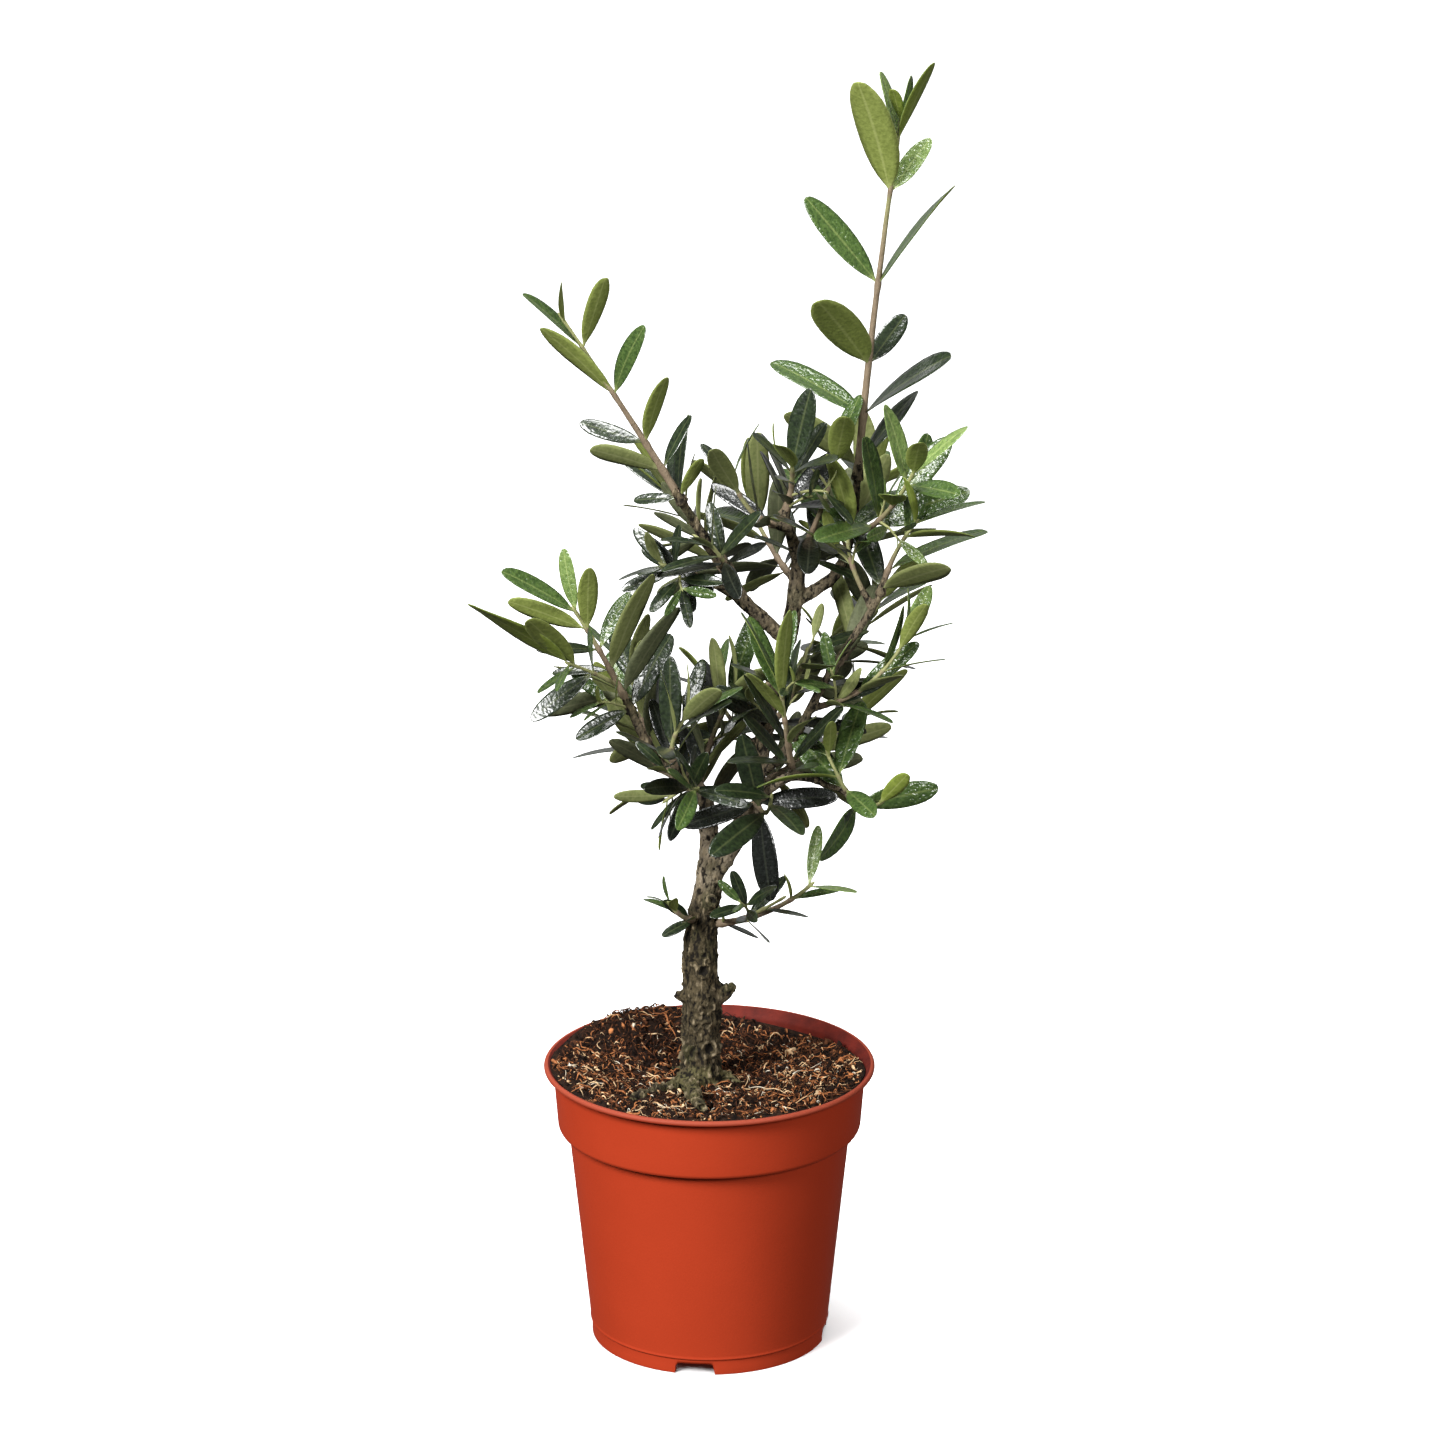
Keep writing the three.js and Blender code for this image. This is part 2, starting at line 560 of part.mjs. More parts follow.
// Length of a leaf at a share t of its twig: it rises from the foot to the middle, then falls ever faster
function leafLengthAt([foot, middle, tip], t) {
  if (t < 0.5) return THREE.MathUtils.lerp(foot, middle, Math.sin(Math.PI * t));
  return THREE.MathUtils.lerp(middle, tip, (2 * t - 1) ** 5);
}

// The sizes of a shoot's leaves, pair by pair: from its rows where it has them, otherwise by the rule
function leafSizes(shoot) {
  if (shoot.rows) {
    return shoot.rows.flatMap(([t, roll, ...pair]) =>
      pair.map(([length, open, twist], side) => ({ t, roll: roll + 180 * side, open, twist, length })));
  }
  const draw = jitterStream(shoot.seed);
  return pairPlaces(shoot.pairs, shoot.first).flatMap((t, k) =>
    [0, 180].map((half) => ({
      t,
      roll: shoot.roll + 90 * k + half + LEAF.rollJitter * draw(),
      open: THREE.MathUtils.lerp(...shoot.open, t) + LEAF.openJitter * draw(),
      twist: LEAF.twistJitter * draw(),
      length: leafLengthAt(shoot.leaf, t) * (1 + LEAF.lengthJitter * draw()),
    })));
}

// The leaves of one shoot. Each holds its root on the twig, its direction, its upper side and its size.
function leavesOf(shoot, curve) {
  return leafSizes(shoot).map(({ t, roll, open, twist, length }) => {
    const root = curve.getPoint(t);
    const along = curve.getTangent(t);
    const reference = Math.abs(along.dot(FRONT)) > 0.9 ? UP : FRONT;
    const a = reference.clone().addScaledVector(along, -reference.dot(along)).normalize();
    const radial = a.clone().applyAxisAngle(along, radians(roll));
    const dir = along.clone().applyAxisAngle(along.clone().cross(radial), radians(open)).normalize();
    const face = along.clone().lerp(UP, LEAF.lightShare);
    face.addScaledVector(dir, -face.dot(dir)).normalize().applyAxisAngle(dir, radians(twist));
    return { root, dir, face, length, half: (length * LEAF.widthShare * shoot.broad) / 2 };
  });
}

// Cross-sections of a leaf blade: share of its length and share of its half width
const LEAF_SECTIONS = [
  { s: 0.34, width: 0.92 },
  { s: 0.78, width: 0.84 },
];

// A leaf's corner points: its root inside the twig, a diamond at each section, and its tip
function leafPoints(leaf, extra = 0) {
  const side = leaf.dir.clone().cross(leaf.face);
  const at = (s, across, up) => {
    const droop = LEAF.droopShare * leaf.length * s * s;
    return leaf.root.clone()
      .addScaledVector(leaf.dir, LEAF.petiole + leaf.length * s)
      .addScaledVector(side, across)
      .addScaledVector(leaf.face, up - droop);
  };
  const points = [leaf.root.clone()];
  for (const { s, width } of LEAF_SECTIONS) {
    const half = leaf.half * width + extra;
    const up = LEAF.thickness / 2 + extra;
    const fold = leaf.half * width * LEAF.foldShare;
    points.push(at(s, half, fold), at(s, 0, -up), at(s, -half, fold), at(s, 0, up));
  }
  points.push(at(1, 0, extra));
  return points;
}

const LEAF_TRIANGLES = (() => {
  const last = LEAF_SECTIONS.length * 4 - 3;
  const tip = last + 4;
  const corners = [0, 1, 2, 3];
  const foot = corners.map((i) => [0, 1 + ((i + 1) % 4), 1 + i]);
  const bands = LEAF_SECTIONS.slice(1).flatMap((_, k) => bandTriangles(1 + 4 * k, 5 + 4 * k, 4));
  return [...foot, ...bands, ...corners.map((i) => [tip, last + i, last + ((i + 1) % 4)])];
})();

// Whether the segment from p to q passes through the triangle abc
function pierces(p, q, a, b, c) {
  const edge1 = b.clone().sub(a);
  const edge2 = c.clone().sub(a);
  const ray = q.clone().sub(p);
  const h = ray.clone().cross(edge2);
  const det = edge1.dot(h);
  if (Math.abs(det) < 1e-12) return false;
  const s = p.clone().sub(a);
  const u = s.dot(h) / det;
  const w = s.cross(edge1);
  const v = ray.dot(w) / det;
  const t = edge2.dot(w) / det;
  return u >= 0 && v >= 0 && u + v <= 1 && t >= 0 && t <= 1;
}

// Whether two leaves touch beyond their petioles
function leavesTouch(one, other) {
  if (one.middle.distanceTo(other.middle) > (one.length + other.length) * 0.56) return false;
  const triangles = LEAF_TRIANGLES.slice(one.spray === other.spray ? 4 : 0);
  const crosses = (m, n) =>
    triangles.some((edge) =>
      edge.some((v, i) =>
        triangles.some((tri) =>
          pierces(m.hull[v], m.hull[edge[(i + 1) % 3]], n.hull[tri[0]], n.hull[tri[1]], n.hull[tri[2]]))));
  return crosses(one, other) || crosses(other, one);
}

// The least distance from a point to a limb or twig, less its radius there
function clearOf(point, limb) {
  return Math.min(...limb.samples.map(({ centre, radius }) => centre.distanceTo(point) - radius));
}

function withSamples(limb, count) {
  limb.samples = Array.from({ length: count + 1 }, (_, i) => ({
    centre: limb.curve.getPoint(i / count),
    radius: limb.radiusAt(i / count),
  }));
  return limb;
}

// The sprays behind the boughs, set out by the rear rule
function rearSprays(limbs) {
  return Object.fromEntries(
    REAR.map((r, i) => {
      const foot = limbs[r.on].curve.getPoint(r.at);
      const turn = radians(r.azimuth);
      const tip = [foot.x + r.reach * Math.cos(turn), foot.y + r.reach * Math.sin(turn), foot.z + r.rise];
      return [`foliage_rear_${i + 1}`, [{ ...REAR_RULE, ...r, tip }]];
    }),
  );
}

function meshOf(name, solid, look) {
  const mesh = new THREE.Mesh(geometryOf(solid), new THREE.MeshStandardMaterial(COLOURS[look]));
  mesh.name = name;
  return mesh;
}

const tree = new THREE.Group();
tree.name = "potted_olive_tree";
tree.add(meshOf("pot", potSolid(), "pot"), meshOf("soil", soilSolid(), "soil"));

// The limbs: each is cut clear of those before it
const limbs = {};
const fatLimbs = [];
for (const [name, { sides, path }] of Object.entries(LIMBS)) {
  limbs[name] = withSamples(waypointLimb(path), 60);
  let solid = grownLimb(limbs[name], sides, 0);
  let fat = grownLimb(limbs[name], sides, GAP);
  if (name === "trunk") {
    const extras = (grow) => [
      ...STUBS.map(({ from, to, radius }) => {
        const curve = new THREE.LineCurve3(new THREE.Vector3(...from), new THREE.Vector3(...to));
        return grownLimb({ curve, radiusAt: (t) => THREE.MathUtils.lerp(...radius, t), steps: 1 }, 6, grow);
      }),
      ...ROOTS.map((root) => grownLimb(waypointLimb(root.path), 6, grow)),
    ];
    solid = extras(0).reduce((a, b) => a.add(b), solid).subtract(soilSolid(GAP));
    fat = extras(GAP).reduce((a, b) => a.add(b), fat);
  }
  for (const other of fatLimbs) solid = solid.subtract(other);
  fatLimbs.push(fat);
  tree.add(meshOf(name, largestBody(solid), "bark"));
}

// The shoots of every spray, before any leaf, so that a leaf can keep clear of all of them
const sprays = Object.entries({ ...SPRAYS, ...rearSprays(limbs) }).map(([name, shoots]) => {
  let stem;
  const grown = shoots.map((shoot) => {
    const foot = shoot.on ? limbs[shoot.on].curve.getPoint(shoot.at) : stem.curve.getPoint(shoot.branch);
    const curve = shootCurve(shoot, foot);
    const radiusAt = (t) => THREE.MathUtils.lerp(...shoot.radius, t);
    const steps = Math.max(2, Math.round(curve.getLength() / TWIG.stepLength));
    const twig = withSamples({ curve, radiusAt, steps, shoot }, 24);
    stem ??= twig;
    return twig;
  });
  return { name, twigs: grown };
});

// The leaves: one that would touch a limb, another twig or a leaf already there is skipped
const allTwigs = sprays.flatMap((spray) => spray.twigs);
const placed = [];
const fatSprays = [];
for (const spray of sprays) {
  spray.leaves = [];
  for (const twig of spray.twigs) {
    for (const leaf of leavesOf(twig.shoot, twig.curve)) {
      const blade = leafPoints(leaf).slice(1);
      leaf.spray = spray.name;
      leaf.hull = leafPoints(leaf, LEAF.clearance / 2);
      leaf.middle = leaf.root.clone().addScaledVector(leaf.dir, LEAF.petiole + leaf.length / 2);
      const probes = [...blade, leaf.middle];
      const others = [...Object.values(limbs), ...allTwigs.filter((other) => other !== twig)];
      const blocked = others.some((limb) => probes.some((p) => clearOf(p, limb) < LEAF.clearance + 0.4));
      if (blocked || placed.some((other) => leavesTouch(leaf, other))) continue;
      placed.push(leaf);
      spray.leaves.push(leaf);
    }
  }
  const parts = [
    ...spray.twigs.map((twig) => limbSolid(twig.curve, twig.radiusAt, TWIG.sides, twig.steps)),
    ...spray.leaves.map((leaf) => solidOf(geometryFrom(leafPoints(leaf), LEAF_TRIANGLES))),
  ];
  let solid = wasm.Manifold.union(parts);
  for (const fat of fatLimbs) solid = solid.subtract(fat);
  for (const fat of fatSprays) solid = solid.subtract(fat);
  const wide = (twig) => limbSolid(twig.curve, (t) => twig.radiusAt(t) + 2 * GAP, TWIG.sides, twig.steps);
  const thick = (leaf) => solidOf(geometryFrom(leafPoints(leaf, GAP), LEAF_TRIANGLES));
  fatSprays.push(wasm.Manifold.union([...spray.twigs.map(wide), ...spray.leaves.map(thick)]));
  tree.add(meshOf(spray.name, largestBody(solid), "leaf"));
}

export default tree;
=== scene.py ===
"""A young olive tree in a round plastic nursery pot.

Sizes in the tables are millimetres, as on the drawing, and Blender's own unit is the metre. The pot stands
on z = 0 with its middle at the origin, and the viewer stands on the -Y side. Every surface is worked out with
numpy as whole arrays. The woody limbs follow waypoints, and every spray of foliage grows from a limb by one
leafing rule: opposite pairs of leaves along a bowed twig, each pair a quarter turn on from the pair below.
"""

import logging
import math
from dataclasses import dataclass, field, fields
from enum import Enum
from typing import Sequence

import bpy
import numpy as np
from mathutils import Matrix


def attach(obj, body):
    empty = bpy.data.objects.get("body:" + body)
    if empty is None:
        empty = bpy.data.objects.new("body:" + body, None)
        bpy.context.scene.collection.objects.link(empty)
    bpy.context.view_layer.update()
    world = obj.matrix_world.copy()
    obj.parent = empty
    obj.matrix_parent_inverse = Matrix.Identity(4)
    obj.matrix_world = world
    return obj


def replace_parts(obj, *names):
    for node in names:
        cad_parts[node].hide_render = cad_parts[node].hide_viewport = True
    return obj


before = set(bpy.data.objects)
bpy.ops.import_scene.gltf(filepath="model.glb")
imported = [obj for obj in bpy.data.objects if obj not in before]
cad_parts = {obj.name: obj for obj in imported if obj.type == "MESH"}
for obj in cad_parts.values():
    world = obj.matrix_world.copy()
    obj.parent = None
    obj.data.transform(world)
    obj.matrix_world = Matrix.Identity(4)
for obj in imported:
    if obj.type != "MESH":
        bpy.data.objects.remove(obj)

MM = 0.001
UP = np.array([0.0, 0.0, 1.0])
FRONT = np.array([0.0, -1.0, 0.0])
TINY = 1e-12
LOG = logging.getLogger("olive")

# Whole numbers that the noise mixes its cells with: one for each axis, then one for its seed
MIXERS = (374761393, 668265263, 2147483647, 1274126177)
LOW_32, LOW_16 = 0xFFFFFFFF, 0xFFFF

Array = np.ndarray
Colour = tuple[float, float, float]
Point = tuple[float, float, float]
Waypoint = tuple[float, float, float, float]


# Finishes


class Tone(Enum):
    """Age of a leaf, which sets the finish of its two faces. The value is its place in the leaf finishes."""

    OLD = 0
    GROWN = 1
    FRESH = 2
    TIP = 3


@dataclass(frozen=True)
class Layer:
    """A colour laid over a finish.

    There is none of it where an attribute has one value, and its full amount where it has the other.
    """

    attribute: str
    colour: Colour
    none_at: float
    full_at: float
    amount: float = 1.0


@dataclass(frozen=True)
class Finish:
    """A surface finish made of shader nodes.

    The base colour is a blend of two colours by noise of a given grain, with layers of colour over it. The
    relief is a bump of finer noise. Grains and heights are in metres.
    """

    name: str
    colour: Colour
    second: Colour
    grain: float = 0.004
    grain_detail: float = 4.0
    stretch: tuple[float, float, float] = (1.0, 1.0, 1.0)
    contrast: float = 0.35
    roughness: float = 0.5
    specular: float = 0.5
    bump: float = 0.0
    bump_grain: float = 0.001
    bump_height: float = 0.001
    bump_detail: float = 4.0
    coat: float = 0.0
    coat_roughness: float = 0.22
    coat_ior: float = 1.5
    layers: tuple[Layer, ...] = ()

    def material(self) -> bpy.types.Material:
        """The finish as a material.

        Returns:
            The material, made once and then shared.
        """
        known = bpy.data.materials.get(self.name)
        if known:
            return known
        material = bpy.data.materials.new(self.name)
        material.use_nodes = True
        material.diffuse_color = (*self.colour, 1.0)
        tree = material.node_tree
        shader = tree.nodes["Principled BSDF"]
        shader.inputs["Roughness"].default_value = self.roughness
        shader.inputs["Specular IOR Level"].default_value = self.specular
        shader.inputs["Coat Weight"].default_value = self.coat
        shader.inputs["Coat Roughness"].default_value = self.coat_roughness
        shader.inputs["Coat IOR"].default_value = self.coat_ior
        place = tree.nodes.new("ShaderNodeTexCoord")
        turn = tree.nodes.new("ShaderNodeMapping")
        turn.inputs["Scale"].default_value = self.stretch
        tree.links.new(place.outputs["Object"], turn.inputs["Vector"])
        tree.links.new(self._colours(tree, turn), shader.inputs["Base Color"])
        if self.bump:
            relief = self._noise(tree, turn, self.bump_grain, self.bump_detail)
            bump = tree.nodes.new("ShaderNodeBump")
            bump.inputs["Strength"].default_value = self.bump
            bump.inputs["Distance"].default_value = self.bump_height
            tree.links.new(relief, bump.inputs["Height"])
            tree.links.new(bump.outputs["Normal"], shader.inputs["Normal"])
            tree.links.new(bump.outputs["Normal"], shader.inputs["Coat Normal"])
        return material

    def _colours(self, tree: bpy.types.NodeTree, turn: bpy.types.Node) -> bpy.types.NodeSocket:
        """The base colour: two colours blended by noise, then each layer mixed over them.

        Args:
            tree: The material's nodes.
            turn: The node that gives the place on the piece.

        Returns:
            The socket that carries the colour.
        """
        ramp = tree.nodes.new("ShaderNodeValToRGB")
        low, high = ramp.color_ramp.elements
        low.position, high.position = 0.5 - self.contrast / 2, 0.5 + self.contrast / 2
        low.color, high.color = (*self.second, 1.0), (*self.colour, 1.0)
        tree.links.new(self._noise(tree, turn, self.grain, self.grain_detail), ramp.inputs["Fac"])
        colour = ramp.outputs["Color"]
        for layer in self.layers:
            mark = tree.nodes.new("ShaderNodeAttribute")
            mark.attribute_name = layer.attribute
            span = tree.nodes.new("ShaderNodeMapRange")
            span.interpolation_type = "SMOOTHSTEP"
            rising = layer.full_at > layer.none_at
            span.inputs["From Min"].default_value = min(layer.none_at, layer.full_at)
            span.inputs["From Max"].default_value = max(layer.none_at, layer.full_at)
            span.inputs["To Min"].default_value = 0.0 if rising else layer.amount
            span.inputs["To Max"].default_value = layer.amount if rising else 0.0
            mix = tree.nodes.new("ShaderNodeMix")
            mix.data_type = "RGBA"
            tree.links.new(mark.outputs["Fac"], span.inputs["Value"])
            share, under, over = mix.inputs[0], mix.inputs[6], mix.inputs[7]
            tree.links.new(span.outputs["Result"], share)
            tree.links.new(colour, under)
            over.default_value = (*layer.colour, 1.0)
            colour = mix.outputs[2]
        return colour

    def _noise(
        self, tree: bpy.types.NodeTree, turn: bpy.types.Node, grain: float, detail: float,
    ) -> bpy.types.NodeSocket:
        """Noise on the piece.

        Args:
            tree: The material's nodes.
            turn: The node that gives the place on the piece.
            grain: Width of its features, in metres.
            detail: How many finer sizes it has.

        Returns:
            The socket that carries it.
        """
        noise = tree.nodes.new("ShaderNodeTexNoise")
        noise.inputs["Scale"].default_value = 1.0 / grain
        noise.inputs["Detail"].default_value = detail
        noise.inputs["Roughness"].default_value = 0.6
        tree.links.new(turn.outputs["Vector"], noise.inputs["Vector"])
        return noise.outputs["Fac"]


# Surfaces


def unit(vectors: Array) -> Array:
    """Each vector divided by its length.

    Args:
        vectors: Any array whose last axis is x, y, z.

    Returns:
        The same array with vectors of length 1.
    """
    return vectors / np.maximum(np.linalg.norm(vectors, axis=-1, keepdims=True), TINY)


def square_to(vectors: Array, axis: Array) -> Array:
    """The unit part of each vector that is square to its axis: the vector less its shadow on the axis."""
    return unit(vectors - axis * (vectors * axis).sum(-1, keepdims=True))


def smoothstep(low: float, high: float, value: Array) -> Array:
    """The soft step from 0 at low to 1 at high: t squared times (3 - 2 t)."""
    share = np.clip((value - low) / (high - low), 0.0, 1.0)
    return share * share * (3.0 - 2.0 * share)


def lattice(cells: Array, seed: int) -> Array:
    """A repeatable number from -1 to 1 for each whole-numbered cell, by mixing the bits of its indices.

    Args:
        cells: Whole numbers, with x, y, z on the last axis.
        seed: Which noise.

    Returns:
        One number for each cell.
    """
    for_x, for_y, for_z, for_seed = MIXERS
    mixed = cells[..., 0] * for_x + cells[..., 1] * for_y + cells[..., 2] * for_z + seed * for_seed
    mixed = (mixed & LOW_32).astype(np.uint64)
    mixed = ((mixed ^ (mixed >> np.uint64(13))) * np.uint64(for_seed)) & np.uint64(LOW_32)
    mixed = mixed ^ (mixed >> np.uint64(16))
    return (mixed & np.uint64(LOW_16)).astype(float) / (LOW_16 / 2) - 1.0


def noise(points: Array, grain: float, seed: int = 0, octaves: int = 1) -> Array:
    """Smooth noise: lattice numbers blended between the eight corners of each cell.

    Each further octave has half the cells' size and half the strength.

    Args:
        points: Places, with x, y, z on the last axis.
        grain: Size of one cell of the coarsest octave.
        seed: Which noise.
        octaves: How many sizes are added.

    Returns:
        A number of about -1 to 1 for each place.
    """
    total = np.zeros(points.shape[:-1])
    for octave in range(octaves):
        place = points / grain * 2.0**octave
        cell = np.floor(place).astype(np.int64)
        share = place - cell
        share = share * share * (3.0 - 2.0 * share)
        value = np.zeros(points.shape[:-1])
        for corner in np.ndindex(2, 2, 2):
            weight = np.prod(np.where(np.array(corner) == 1, share, 1.0 - share), axis=-1)
            value += weight * lattice(cell + np.array(corner), seed + 31 * octave)
        total += value * 0.5**octave
    return total / (2.0 - 0.5 ** (octaves - 1))


@dataclass
class Surface:
    """Points, faces and a finish number for each face, with marks: numbers on the points that finishes read.

    A face row holds four corners, or three and then -1.
    """

    points: Array
    faces: Array
    slots: Array
    marks: dict[str, Array] = field(default_factory=dict)

    @staticmethod
    def join(parts: Sequence["Surface"]) -> "Surface":
        """Several surfaces as one, without joining their points.

        Args:
            parts: Surfaces with the same marks.

        Returns:
            The one surface.
        """
        shifts = np.cumsum([0] + [len(part.points) for part in parts[:-1]])
        faces = [np.where(part.faces >= 0, part.faces + shift, -1) for part, shift in zip(parts, shifts)]
        return Surface(
            np.concatenate([part.points for part in parts]),
            np.concatenate(faces),
            np.concatenate([part.slots for part in parts]),
            {name: np.concatenate([part.marks[name] for part in parts]) for name in parts[0].marks},
        )

    def mesh(self, name: str) -> bpy.types.Mesh:
        """The surface as a Blender mesh.

        Args:
            name: Its name.

        Returns:
            The smooth mesh, in metres.
        """
        mesh = bpy.data.meshes.new(name)
        corners = self.faces[self.faces >= 0]
        totals = (self.faces >= 0).sum(1)
        starts = np.concatenate([[0], np.cumsum(totals)[:-1]])
        mesh.vertices.add(len(self.points))
        mesh.vertices.foreach_set("co", (self.points * MM).astype(np.float32).ravel())
        mesh.loops.add(len(corners))
        mesh.loops.foreach_set("vertex_index", corners.astype(np.int32))
        mesh.polygons.add(len(starts))
        mesh.polygons.foreach_set("loop_start", starts.astype(np.int32))
        mesh.polygons.foreach_set("material_index", self.slots.astype(np.int32))
        mesh.polygons.foreach_set("use_smooth", np.ones(len(starts), bool))
        for mark, values in self.marks.items():
            layer = mesh.attributes.new(mark, "FLOAT", "POINT")
            layer.data.foreach_set("value", values.astype(np.float32))
        mesh.update(calc_edges=True)
        return mesh

    def piece(self, name: str, slot: str, finishes: Sequence[Finish], subdivide: int = 0) -> bpy.types.Object:
        """The surface as a Blender object that rides on the plant's one body.

        Args:
            name: The object's name.
            slot: The name of the record's material slot. It is not used.
            finishes: The finishes that the faces' numbers count in.
            subdivide: Levels of a Subdivision Surface modifier, 0 for none.

        Returns:
            The object, at the origin.
        """
        mesh = self.mesh(name)
        for finish in finishes:
            mesh.materials.append(finish.material())
        piece = bpy.data.objects.new(name, mesh)
        bpy.context.scene.collection.objects.link(piece)
        if subdivide:
            finer = piece.modifiers.new("finer", "SUBSURF")
            finer.levels = subdivide
            finer.render_levels = subdivide
        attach(piece, "root")
        LOG.info("%s: %d points, %d faces", name, len(self.points), len(self.faces))
        return piece


def tube_faces(rings: int, sides: int) -> Array:
    """Faces of a closed tube: quads from ring to ring, and a fan to a pole at each end.

    The points are the rings in order, then the pole of the first ring and the pole of the last.

    Args:
        rings: How many rings.
        sides: Points round each.

    Returns:
        The faces.
    """
    ring = np.arange(rings - 1)[:, None] * sides
    near = np.arange(sides)[None, :]
    beside = (near + 1) % sides
    quads = [ring + near, ring + beside, ring + beside + sides, ring + near + sides]
    quads = np.stack(quads, -1).reshape(-1, 4)
    near, beside = near[0], beside[0]
    first, last = rings * sides, rings * sides + 1
    gone = np.full(sides, -1)
    foot = np.stack([np.full(sides, first), beside, near, gone], -1)
    top = (rings - 1) * sides
    tip = np.stack([np.full(sides, last), top + near, top + beside, gone], -1)
    return np.concatenate([quads, foot, tip])


def repeat_faces(faces: Array, copies: int, points_each: int) -> Array:
    """The faces of one shape for each of its copies, whose points follow one another."""
    shift = (np.arange(copies) * points_each)[:, None, None]
    return np.where(faces[None] >= 0, faces[None] + shift, -1).reshape(-1, 4)


def carried_frames(path: Array) -> tuple[Array, Array]:
    """Two sides at each station of each path, square to it and to each other, carried along without spinning.

    Args:
        path: Stations of each path, shaped (paths, stations, 3).

    Returns:
        Two arrays of that shape.
    """
    tangent = unit(np.gradient(path, axis=1))
    start = np.where(np.abs(tangent[:, 0, 1:2]) > 0.9, UP, FRONT)
    normal = np.empty_like(path)
    normal[:, 0] = square_to(start, tangent[:, 0])
    for k in range(1, path.shape[1]):
        normal[:, k] = square_to(normal[:, k - 1], tangent[:, k])
    return normal, np.cross(tangent, normal)


def tubes(path: Array, radius: Array, sides: int, slot: Array | int = 0) -> Surface:
    """Round closed tubes: station + radius x (cos turn x normal + sin turn x side), with a pole at each end.

    Args:
        path: Stations of each tube's middle, shaped (tubes, stations, 3).
        radius: Radius at each station, shaped (tubes, stations).
        sides: Points round each ring.
        slot: Finish number of each tube, or one for all.

    Returns:
        All tubes as one surface.
    """
    count, stations, _ = path.shape
    normal, side = carried_frames(path)
    turn = np.arange(sides) / sides * 2 * math.pi
    out = np.cos(turn)[:, None] * normal[:, :, None] + np.sin(turn)[:, None] * side[:, :, None]
    rings = path[:, :, None] + radius[:, :, None, None] * out
    points = np.concatenate([rings.reshape(count, -1, 3), path[:, :1], path[:, -1:]], 1)
    faces = tube_faces(stations, sides)
    slots = np.repeat(np.broadcast_to(slot, (count,)), len(faces))
    return Surface(points.reshape(-1, 3), repeat_faces(faces, count, points.shape[1]), slots)


def turned(profile: Array, turns: Array, slot: Array) -> Surface:
    """A turned surface: the profile's radius and height carried round the Z axis, its two ends on the axis.

    Args:
        profile: Radius and height of each station, the first and last on the axis.
        turns: The angles of the stations round the axis.
        slot: Finish number of each step of the profile.

    Returns:
        The closed surface.
    """
    inner = profile[1:-1]
    x = inner[:, :1] * np.cos(turns)
    y = inner[:, :1] * np.sin(turns)
    z = np.broadcast_to(inner[:, 1:], x.shape)
    ends = np.array([[0, 0, profile[0, 1]], [0, 0, profile[-1, 1]]])
    points = np.concatenate([np.stack([x, y, z], -1).reshape(-1, 3), ends])
    sides = len(turns)
    caps = [np.full(sides, slot[0]), np.full(sides, slot[-1])]
    slots = np.concatenate([np.repeat(slot[1:-1], sides), *caps])
    return Surface(points, tube_faces(len(inner), sides), slots)


def rounded(corners: Sequence[tuple[float, float, float]], steps: int = 5) -> Array:
    """A line through corners, each rounded by a quadratic arc that starts and ends its radius away from it.

    The radius is at most a little under half the step to either neighbour, so that two arcs never meet.

    Args:
        corners: x, y and rounding radius of each corner.
        steps: Stations on each arc.

    Returns:
        The stations, shaped (n, 2).
    """
    points = np.array([corner[:2] for corner in corners], float)
    most = 0.48
    out = [points[:1]]
    for i in range(1, len(points) - 1):
        before, after = points[i - 1] - points[i], points[i + 1] - points[i]
        reach = min(corners[i][2], most * np.linalg.norm(before), most * np.linalg.norm(after))
        if reach < 1e-6:
            out.append(points[i : i + 1])
            continue
        start, end = points[i] + unit(before) * reach, points[i] + unit(after) * reach
        t = np.linspace(0, 1, steps)[:, None]
        out.append((1 - t) ** 2 * start + 2 * t * (1 - t) * points[i] + t**2 * end)
    return np.concatenate(out + [points[-1:]])


# Pot


